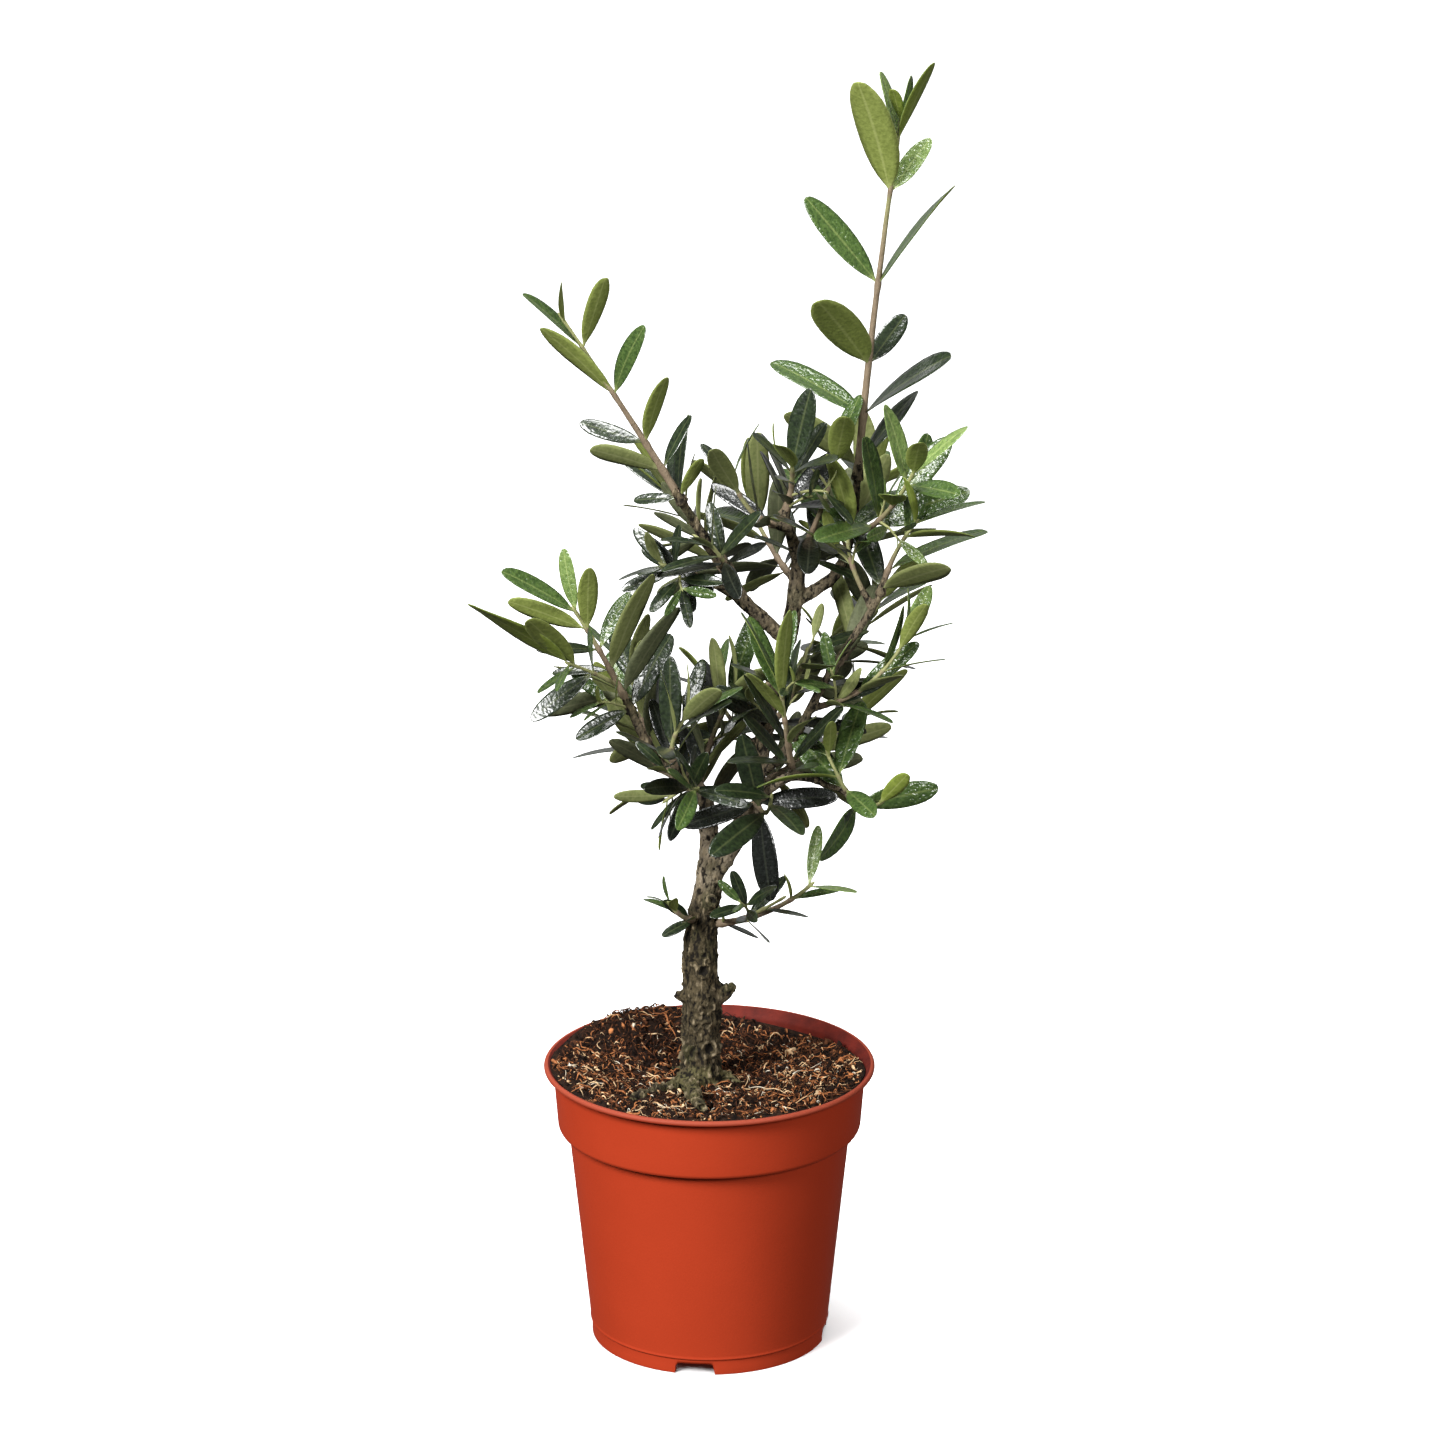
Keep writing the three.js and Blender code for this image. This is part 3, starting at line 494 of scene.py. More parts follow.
@dataclass
class Pot:
    """The round plastic pot: rolled rim, deep band, ledge, tapering body, and a notched foot ring."""

    height: float = 104.4
    rim_radius: float = 60.0
    rim_inner_radius: float = 58.4
    lip_height: float = 1.7
    band_top_radius: float = 56.6
    band_foot_radius: float = 54.9
    band_foot_height: float = 81.0
    body_top_radius: float = 51.1
    body_foot_radius: float = 43.4
    foot_radius: float = 43.0
    foot_height: float = 6.0
    foot_width: float = 1.8
    pad_radius: float = 11.0
    floor_height: float = 4.4
    wall: float = 1.1
    notch_width: float = 14.6
    notch_height: float = 4.2
    notch_corner: float = 2.0
    notch_count: int = 4
    first_notch: float = -97.0
    segments: int = 240
    longest_step: float = 4.0
    plastic: Finish = Finish(
        "moulded_plastic", (0.50, 0.050, 0.0155), (0.435, 0.042, 0.0125), grain=0.03, contrast=0.9,
        roughness=0.6, specular=0.14, bump=0.12, bump_grain=0.0006, bump_height=0.0006,
        # Painted shade: the rim layer paints the top of the rim a duller, darker red, against the light that
        # falls on it from above
        layers=(Layer("rim", (0.29, 0.056, 0.030), 0.0, 1.0, 0.9),),
    )
    # The inside of the pot: the same plastic painted much darker, as painted shade inside the pot
    inside: Finish = Finish(
        "moulded_plastic_inside", (0.150, 0.017, 0.010), (0.075, 0.010, 0.007), grain=0.007, roughness=0.7,
        specular=0.15, bump=0.2, bump_grain=0.0012,
    )

    def wall_radius(self, z: Array) -> Array:
        """Radius of the inner wall: straight lines up the body, the band and the rim's slope.

        Args:
            z: Heights.

        Returns:
            The radius at each.
        """
        slope_foot = self.height - self.lip_height - 1.0
        stations = (
            (self.foot_height, self.body_foot_radius), (self.band_foot_height, self.body_top_radius),
            (self.band_foot_height + 0.01, self.band_foot_radius), (slope_foot, self.band_top_radius - 0.2),
            (self.height, self.rim_inner_radius + self.wall),
        )
        heights, radii = zip(*stations)
        return np.interp(z, heights, radii) - self.wall

    def profile(self) -> tuple[Array, Array]:
        """The pot's outline, from the middle of the underside round the wall to the middle of its floor.

        Returns:
            Radius and height of each station, and whether each step belongs to the inside.
        """
        lip = self.height - self.lip_height
        outside = rounded([
            (0, 0, 0), (self.pad_radius, 0, 0.6), (self.pad_radius + 1, self.floor_height, 0.6),
            (self.foot_radius - self.foot_width - 0.6, self.floor_height, 0.6),
            (self.foot_radius - self.foot_width, 0, 0.35), (self.foot_radius - 0.05, 0, 0.35),
            (self.foot_radius, self.foot_height - 0.5, 0.2),
            (self.body_foot_radius + 0.25, self.foot_height + 0.1, 0.25),
            (self.body_foot_radius + 0.1, self.foot_height + 1.0, 0.4),
            (self.body_top_radius - 0.1, self.band_foot_height - 2.2, 1.0),
            (self.body_top_radius + 0.2, self.band_foot_height - 0.5, 0.5),
            (self.band_foot_radius - 0.6, self.band_foot_height - 0.35, 0.3),
            (self.band_foot_radius, self.band_foot_height + 0.6, 0.8),
            (self.band_top_radius, lip - 0.1, 0.7), (self.rim_radius - 0.3, lip, 0.3),
            (self.rim_radius, lip + self.lip_height * 0.45, 0.5), (self.rim_radius - 0.5, self.height, 0.55),
            (self.rim_inner_radius, self.height, 0.5),
        ])
        inside = rounded([
            (self.rim_inner_radius, self.height, 0), (self.band_top_radius - self.wall, lip - 1.4, 0.8),
            (self.band_foot_radius - self.wall, self.band_foot_height + self.wall, 0.6),
            (self.body_top_radius - self.wall, self.band_foot_height - 0.2, 0.6),
            (self.body_foot_radius - self.wall, self.foot_height, 2.0), (0, self.floor_height + self.wall, 0),
        ])
        profile = self._filled(np.concatenate([outside, inside[1:]]))
        heights = profile[:, 1]
        top = int(np.argmax(heights + 1e-3 * profile[:, 0]))
        return profile, np.arange(len(profile) - 1) > top

    def _filled(self, profile: Array) -> Array:
        """The outline with stations added, so that no step is longer than longest_step.

        Args:
            profile: Radius and height of each station.

        Returns:
            The same for more stations.
        """
        steps = [profile[:1]]
        for a, b in zip(profile[:-1], profile[1:]):
            count = max(1, math.ceil(np.linalg.norm(b - a) / self.longest_step))
            steps.append(a + (b - a) * (np.arange(1, count + 1) / count)[:, None])
        return np.concatenate(steps)

    def notches(self) -> Array:
        """Angles of the notches' middles."""
        return np.radians(self.first_notch + 360 / self.notch_count * np.arange(self.notch_count))

    def turns(self) -> Array:
        """Where the stations stand round the pot.

        Returns:
            Their angles, with close ones at the notches' sides.
        """
        even = np.arange(self.segments) / self.segments * 2 * math.pi
        half = self.notch_width / 2 / self.foot_radius
        outer, inner = half + 0.004, half - 0.02
        edges = self.notches()[:, None] + np.array([-outer, -half, -inner, inner, half, outer])
        return np.unique(np.concatenate([even, edges.ravel() % (2 * math.pi)]).round(5))

    def build(self) -> None:
        """Turns the outline and lifts the foot ring's underside inside each notch."""
        profile, inside = self.profile()
        turns = self.turns()
        # The steps of the inside take the darker inside finish, which is painted shade
        surface = turned(profile, turns, inside.astype(int))
        points = surface.points
        angle = np.arctan2(points[:, 1], points[:, 0])
        away = np.abs((angle[:, None] - self.notches() + math.pi) % (2 * math.pi) - math.pi)
        away = away.min(1) * self.foot_radius
        radius = np.hypot(points[:, 0], points[:, 1])
        # The rim mark rises to 1 over the top of the rim, where the rim layer lays its painted shade
        painted_shade_foot = self.height - self.lip_height - 0.4
        surface.marks["rim"] = smoothstep(painted_shade_foot, self.height - 0.4, points[:, 2])
        corner = self.notch_corner
        past = np.clip(away - (self.notch_width / 2 - corner), 0, corner)
        arch = self.notch_height - corner + np.sqrt(np.maximum(corner**2 - past**2, 0))
        ring = (radius > self.foot_radius - self.foot_width - 0.7) & (away < self.notch_width / 2 - 1e-3)
        low = ring & (points[:, 2] < arch) & (radius > self.pad_radius + 5)
        points[low, 2] = arch[low]
        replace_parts(surface.piece("pot_shell", "pot_plastic", [self.plastic, self.inside]), "pot")


# Soil


@dataclass
class Soil:
    """Peat and coir: a mounded top of crumbs under a litter of fibres, chips and thread roots."""

    pot: Pot
    foot: tuple[float, float] = (-2.7, -3.0)
    level: float = 98.2
    flat_radius: float = 15.0
    edge_level: float = 99.6
    wall_rise: float = 2.0
    wall_reach: float = 18.0
    rim_drop: float = 0.4
    rim_slope: float = 0.55
    bumps: tuple[tuple[float, float, float, float], ...] = (
        (-27, 42, 17, 6.5), (30, 36, 20, -2.6), (-34, -24, 18, 1.4), (30, -26, 15, 2.2), (-54, 0, 16, 2.2),
        (53, -12, 15, 1.6), (0, -55, 16, 1.8),
    )
    gap: float = 0.3
    rings: int = 120
    segments: int = 300
    trunk_room: float = 9.0
    root_room: float = 3.0
    chip_count: int = 3400
    chip_shares: tuple[float, ...] = (0.44, 0.25, 0.18, 0.105, 0.025)
    fibre_count: int = 4200
    fibre_shares: tuple[float, ...] = (0.41, 0.28, 0.21, 0.085, 0.015)
    thread_count: int = 12
    thread_shares: tuple[float, float] = (0.4, 0.6)
    seed: int = 4
    earth: Finish = Finish(
        "soil_earth", (0.030, 0.013, 0.006), (0.003, 0.0015, 0.001), grain=0.0022, roughness=0.95,
        specular=0.2, bump=0.7, bump_grain=0.0007,
    )
    litter: tuple[Finish, ...] = (
        Finish("coir_dark", (0.022, 0.009, 0.005), (0.004, 0.002, 0.001), grain=0.001, roughness=0.9,
               specular=0.2),
        Finish("coir_brown", (0.125, 0.044, 0.017), (0.03, 0.011, 0.005), grain=0.0012, roughness=0.9,
               specular=0.2),
        Finish("coir_rust", (0.62, 0.24, 0.083), (0.21, 0.068, 0.025), grain=0.0015, roughness=0.85,
               specular=0.25),
        Finish("coir_tan", (0.94, 0.68, 0.40), (0.56, 0.32, 0.15), grain=0.002, roughness=0.85,
               specular=0.25),
        Finish("root_pale", (0.90, 0.84, 0.70), (0.72, 0.60, 0.42), grain=0.002, roughness=0.8,
               specular=0.3),
    )

    def top(self, x: Array, y: Array) -> Array:
        """Height of the smooth top: flat at the trunk, rising to the edge level and at the wall, with bumps.

        The bumps are round. Near the rim the top stays under a cone that falls towards the rim.

        Args:
            x: Places across.
            y: Places back.

        Returns:
            The height at each.
        """
        away = np.hypot(x - self.foot[0], y - self.foot[1])
        share = smoothstep(self.flat_radius, self.flat_radius + 20, away)
        rise = sum(
            h * np.exp(-((x - bx) ** 2 + (y - by) ** 2) / (2 * s * s)) for bx, by, s, h in self.bumps
        )
        wall = self.pot.band_foot_radius
        radius = np.hypot(x, y)
        near = smoothstep(wall - self.wall_reach, wall, radius)
        cone = self.pot.height - self.rim_drop + self.rim_slope * (self.pot.rim_inner_radius - radius)
        mound = self.level + share * (self.edge_level - self.level + rise) + near * self.wall_rise
        return np.minimum(mound, cone)

    def reach(self, turn: Array) -> Array:
        """Radius of the top's edge, where it meets the wall or the rim's slope.

        Args:
            turn: Directions.

        Returns:
            The radius in each.
        """
        wall = self.pot.wall_radius(np.array(self.edge_level))
        top = self.top(wall * np.cos(turn), wall * np.sin(turn))
        return self.pot.wall_radius(np.minimum(top, self.pot.height - self.rim_drop)) - self.gap

    def crumbs(self, x: Array, y: Array) -> Array:
        """Height of the crumbs over the smooth top: three sizes of noise, the middle one folded at nought.

        Args:
            x: Places across.
            y: Places back.

        Returns:
            The height at each.
        """
        place = np.stack([x, y, np.zeros_like(x)], -1)
        clods = noise(place, 7.0, 11, 2)
        return 2.2 * clods + 2.2 * np.abs(noise(place, 3.1, 12, 2)) + 1.1 * noise(place, 1.2, 13, 2) - 1.1

    def build(self) -> None:
        """Makes the plug of soil and its litter."""
        self._plug()
        self._chips()
        self._fibres()
        self._threads()

    def _plug(self) -> None:
        """The plug: a polar grid for the top, which turns down at the pot's wall and closes at the bottom."""
        turns = np.arange(self.segments) / self.segments * 2 * math.pi
        share = np.linspace(0, 1, self.rings + 1)[1:] ** 0.85
        rim = self.reach(turns)
        x = share[:, None] * rim * np.cos(turns)
        y = share[:, None] * rim * np.sin(turns)
        z = self.top(x, y) + self.crumbs(x, y) * smoothstep(1.0, 0.985, share)[:, None]
        rings = [np.stack([x, y, z], -1)]
        pot = self.pot
        ledge = pot.band_foot_height + pot.wall
        over_ledge = ledge + 2 * self.gap
        bend = np.minimum(z[-1] - 0.5, pot.height - pot.lip_height - 1.0)
        sides = (
            (bend, pot.wall_radius(bend) - self.gap),
            (over_ledge, float(pot.wall_radius(np.array(over_ledge))) - self.gap),
            (ledge - self.gap, pot.body_top_radius - pot.wall - 2 * self.gap),
            (pot.foot_height + self.gap, pot.body_foot_radius - pot.wall - self.gap),
        )
        for height, radius in sides:
            ring = np.stack([radius * np.cos(turns), radius * np.sin(turns), height + 0 * turns], -1)
            rings.append(ring[None])
        grid = np.concatenate(rings)[::-1]
        ends = np.array([[0, 0, self.pot.foot_height + self.gap], [0, 0, self.level]])
        points = np.concatenate([grid.reshape(-1, 3), ends])
        faces = tube_faces(len(grid), self.segments)
        plug = Surface(points, faces, np.zeros(len(faces), int))
        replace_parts(plug.piece("soil_plug", "potting_soil", [self.earth]), "soil")

    def _scatter(self, count: int, rng: np.random.Generator, margin: float) -> tuple[Array, Array]:
        """Even random places on the soil, inside the pot's wall and off the trunk and the surface roots.

        Args:
            count: How many.
            rng: The source of chance.
            margin: Least distance from the wall.

        Returns:
            Their x and y.
        """
        share = np.sqrt(rng.random(3 * count))
        turn = rng.random(3 * count) * 2 * math.pi
        radius = share * (self.reach(turn) - margin)
        x, y = radius * np.cos(turn), radius * np.sin(turn)
        roots = np.concatenate([samples(Limb(path), 20)[0] for path in ROOTS])
        away = np.hypot(x[:, None] - roots[:, 0], y[:, None] - roots[:, 1]).min(1)
        trunk = np.hypot(x - self.foot[0], y - self.foot[1])
        bare = (away < self.root_room) | (trunk < self.trunk_room)
        rows = np.argsort(bare, kind="stable")[:count]
        return x[rows], y[rows]

    def _damp_and_shade_behind(self, tone: Array, y: Array, rng: np.random.Generator) -> Array:
        """The litter's finishes, half of the lighter ones a step darker behind the trunk: damp and painted
        shade.
        """
        darker = (y > 10) & (tone > 1) & (rng.random(len(tone)) < 0.5)
        return np.where(darker, tone - 1, tone)

    def _chips(self) -> None:
        """Chips and crumbs: short fat spindles of uneven girth, lying on the soil at every angle."""
        rng = np.random.default_rng(self.seed)
        count = self.chip_count
        x, y = self._scatter(count, rng, 0.9)
        long = rng.gamma(1.8, 0.72, count).clip(0.6, 5.5)
        heading = rng.random(count) * 2 * math.pi
        tilt = rng.normal(0, 0.35, count)
        axis = [np.cos(heading) * np.cos(tilt), np.sin(heading) * np.cos(tilt), np.sin(tilt)]
        axis = np.stack(axis, -1)[:, None]
        t = np.linspace(-0.5, 0.5, 5)
        middle = np.stack([x, y, self.top(x, y) + self.crumbs(x, y) + 0.2], -1)[:, None]
        path = middle + axis * (t[None, :, None] * long[:, None, None])
        path = path + rng.normal(0, 0.12, path.shape) * long[:, None, None]
        spindle = np.sqrt(np.maximum(0.27 - t * t, 0.01))[None, :]
        girth = spindle * (long * rng.uniform(0.15, 0.55, count))[:, None]
        girth = girth * rng.uniform(0.7, 1.2, girth.shape)
        tone = self._damp_and_shade_behind(rng.choice(5, count, p=self.chip_shares), y, rng)
        tubes(path, girth, 5, tone).piece("soil_chips", "potting_soil", self.litter)

    def _fibres(self) -> None:
        """Coir fibres: thin bent strands that follow the soil's top and spring clear of it in the middle."""
        rng = np.random.default_rng(self.seed + 1)
        count = self.fibre_count
        x, y = self._scatter(count, rng, 3.0)
        long = rng.gamma(1.6, 2.4, count).clip(1.8, 17.0)
        heading = rng.random(count) * 2 * math.pi
        bend = rng.normal(0, 1.6, count)
        t = np.linspace(-0.5, 0.5, 6)[None, :]
        turn = heading[:, None] + bend[:, None] * t + 0.35 * np.sin(7 * t + heading[:, None])
        step = (long / 5)[:, None]
        px = x[:, None] + np.cumsum(np.cos(turn) * step, 1) - np.cos(heading)[:, None] * long[:, None] / 2
        py = y[:, None] + np.cumsum(np.sin(turn) * step, 1) - np.sin(heading)[:, None] * long[:, None] / 2
        reach = self.reach(np.arctan2(py, px)).min(1)
        squeeze = np.minimum(1.0, reach / np.maximum(np.hypot(px, py).max(1), 1e-6))[:, None]
        px, py = px * squeeze, py * squeeze
        lift = rng.uniform(0.1, 1.4, count)[:, None] * (1 - (2 * t) ** 2)
        lift = lift + rng.normal(0, 0.8, count)[:, None] * t
        pz = self.top(px, py) + 0.8 * self.crumbs(px, py) + 0.45 + lift
        girth = rng.uniform(0.09, 0.30, count)[:, None] * (1.0 - 0.6 * (2 * t) ** 2)
        tone = self._damp_and_shade_behind(rng.choice(5, count, p=self.fibre_shares), y, rng)
        tubes(np.stack([px, py, pz], -1), girth, 3, tone).piece("soil_fibres", "potting_soil", self.litter)

    def _threads(self) -> None:
        """Thread roots: pale strands a few centimetres long that wander over the soil."""
        rng = np.random.default_rng(self.seed + 2)
        count = self.thread_count
        x, y = self._scatter(count, rng, 16.0)
        y = np.where(rng.random(count) < 0.7, -np.abs(y), y)
        long = rng.uniform(7, 26, count)
        t = np.linspace(0, 1, 22)[None, :]
        heading = rng.random(count)[:, None] * 2 * math.pi
        waves = rng.uniform(4, 9, count)[:, None]
        turn = heading + rng.normal(0, 0.7, count)[:, None] * t + 0.5 * np.sin(waves * t + heading)
        px = x[:, None] + np.cumsum(np.cos(turn), 1) * (long / 22)[:, None]
        py = y[:, None] + np.cumsum(np.sin(turn), 1) * (long / 22)[:, None]
        reach = self.reach(np.arctan2(py, px)).min(1) - 1.2
        squeeze = np.minimum(1.0, reach / np.maximum(np.hypot(px, py).max(1), 1e-6))[:, None]
        px, py = px * squeeze, py * squeeze
        pz = self.top(px, py) + np.maximum(self.crumbs(px, py), 0) + 0.7 + 0.5 * np.sin(9 * t + heading)
        girth = rng.uniform(0.14, 0.26, count)[:, None] * (1.0 - 0.7 * t)
        tone = rng.choice([3, 4], count, p=self.thread_shares)
        tubes(np.stack([px, py, pz], -1), girth, 5, tone).piece("soil_threads", "potting_soil", self.litter)


# Foliage tables


@dataclass(frozen=True)
class Shoot:
    """One twig with its leaves.

    It stands on a limb, or branches from the first twig of its spray. leaf holds the lengths of its leaves at
    foot, middle and tip, open their angles from the twig at foot and tip, and roll the first pair's turn. A
    leading shoot stands free of the crown, so its pairs are measured one by one: each row holds a pair's
    place and turn, then the length, the opening and the twist of each of its two leaves.
    """

    tip: Point
    bow: Point
    radius: tuple[float, float]
    broad: float
    on: str = ""
    at: float = 0.0
    branch: float = 0.0
    pairs: int = 0
    first: float = 0.0
    leaf: tuple[float, float, float] = (0.0, 0.0, 0.0)
    open: tuple[float, float] = (0.0, 0.0)
    roll: float = 0.0
    seed: int = 0
    rows: tuple[tuple, ...] = ()


@dataclass(frozen=True)
class Spray:
    """A mass of foliage: one stem with its side twigs. age holds the tones of its leaves at foot and tip."""

    name: str
    age: tuple[float, float]
    shoots: tuple[Shoot, ...]


@dataclass(frozen=True)
class RearSpray:
    """A spray behind the boughs: its place on a limb, its heading, and how far out and up it reaches."""

    on: str
    at: float
    azimuth: float
    reach: float
    rise: float
    pairs: int
    roll: float
    seed: int

    def spray(self, number: int, foot: Array) -> Spray:
        """The spray that the rear rule makes of it.

        Args:
            number: Its number.
            foot: Where it stands on its limb.

        Returns:
            The spray.
        """
        turn = math.radians(self.azimuth)
        tip = foot + np.array([self.reach * math.cos(turn), self.reach * math.sin(turn), self.rise])
        shoot = Shoot(
            tip=tuple(tip), bow=(0, 2, -3), radius=(1.3, 0.6), broad=1.05, on=self.on, at=self.at,
            pairs=self.pairs, first=0.2, leaf=(20, 30, 18), open=(62, 28), roll=self.roll, seed=self.seed,
        )
        return Spray(f"foliage_rear_{number}", (0.1, 1.7), (shoot,))


LIMBS: dict[str, tuple[Waypoint, ...]] = {
    "trunk": (
        (-2.4, -3.2, 92, 9.2), (-2.7, -3, 99, 8.4), (-3, -3, 106, 7), (-3, -3, 116, 6.9),
        (-2.8, -2.4, 131, 7), (-3.3, -2, 144, 6.4), (-2.6, -1, 157, 6.1), (-0.8, -0.2, 170, 5.3),
        (1, 0, 180, 5.2), (1.9, 0, 185, 4.3),
    ),
    "bough_left": (
        (-0.5, 0, 179, 3.6), (-0.1, 0, 192.9, 3.5), (-1.5, -1, 204.6, 3.1), (-7.6, -4, 213.6, 2.6),
        (-16.7, -6, 219, 2.2), (-23.4, -8, 231, 1.8), (-27.3, -8, 239.8, 1.5),
    ),
    "bough_main": (
        (1, 0, 176, 4.3), (8.9, 0, 189.2, 4.1), (14.9, 0, 201.2, 3.7), (17.3, 1, 215.2, 3.3),
        (20.9, 3, 235, 3.1), (26.2, 4, 257.2, 3.1), (28.2, 4, 264, 3),
    ),
    "bough_upper_left": (
        (28, 4, 262, 2.7), (18.7, 4, 270.9, 2.7), (10.9, 3, 278.9, 2.7), (6.7, 1, 289.5, 2.6),
        (1.1, -1, 297.4, 2.2), (-6.6, -4, 311, 1.7), (-9.1, -6, 316, 1.6),
    ),
    "bough_centre": (
        (28.2, 4, 262, 3), (30.7, 4, 281.2, 3), (31.4, 3, 291.1, 2.6), (28.5, 0, 303.7, 1.9),
        (26.3, -2, 310.5, 1.7),
    ),
    "bough_upper_right": (
        (30.6, 4, 277, 2.4), (40.3, 6, 282.5, 2.3), (46.3, 8, 288.2, 2.1), (50.5, 10, 301.6, 1.8),
        (52.2, 10, 319.9, 1.5),
    ),
    "bough_right": (
        (17.1, 1, 212.2, 1.9), (28.7, -6, 226.9, 1.8), (40.5, -12, 251.8, 1.6), (48.9, -14, 266.4, 1.4),
        (56.5, -15, 278.8, 1.3), (59.9, -16, 285.3, 1.2),
    ),
    "bough_lower_right": (
        (15.4, 0, 203.5, 2.2), (28.7, -12, 217, 1.9), (41, -18, 216.6, 1.5), (49.8, -20, 212.8, 1.2),
    ),
    "bough_side": (
        (12, 3, 277.5, 1.7), (4.6, 3.5, 282, 1.6), (-3.2, 3, 286.2, 1.3), (-9.5, 1, 289.4, 1.1),
    ),
}

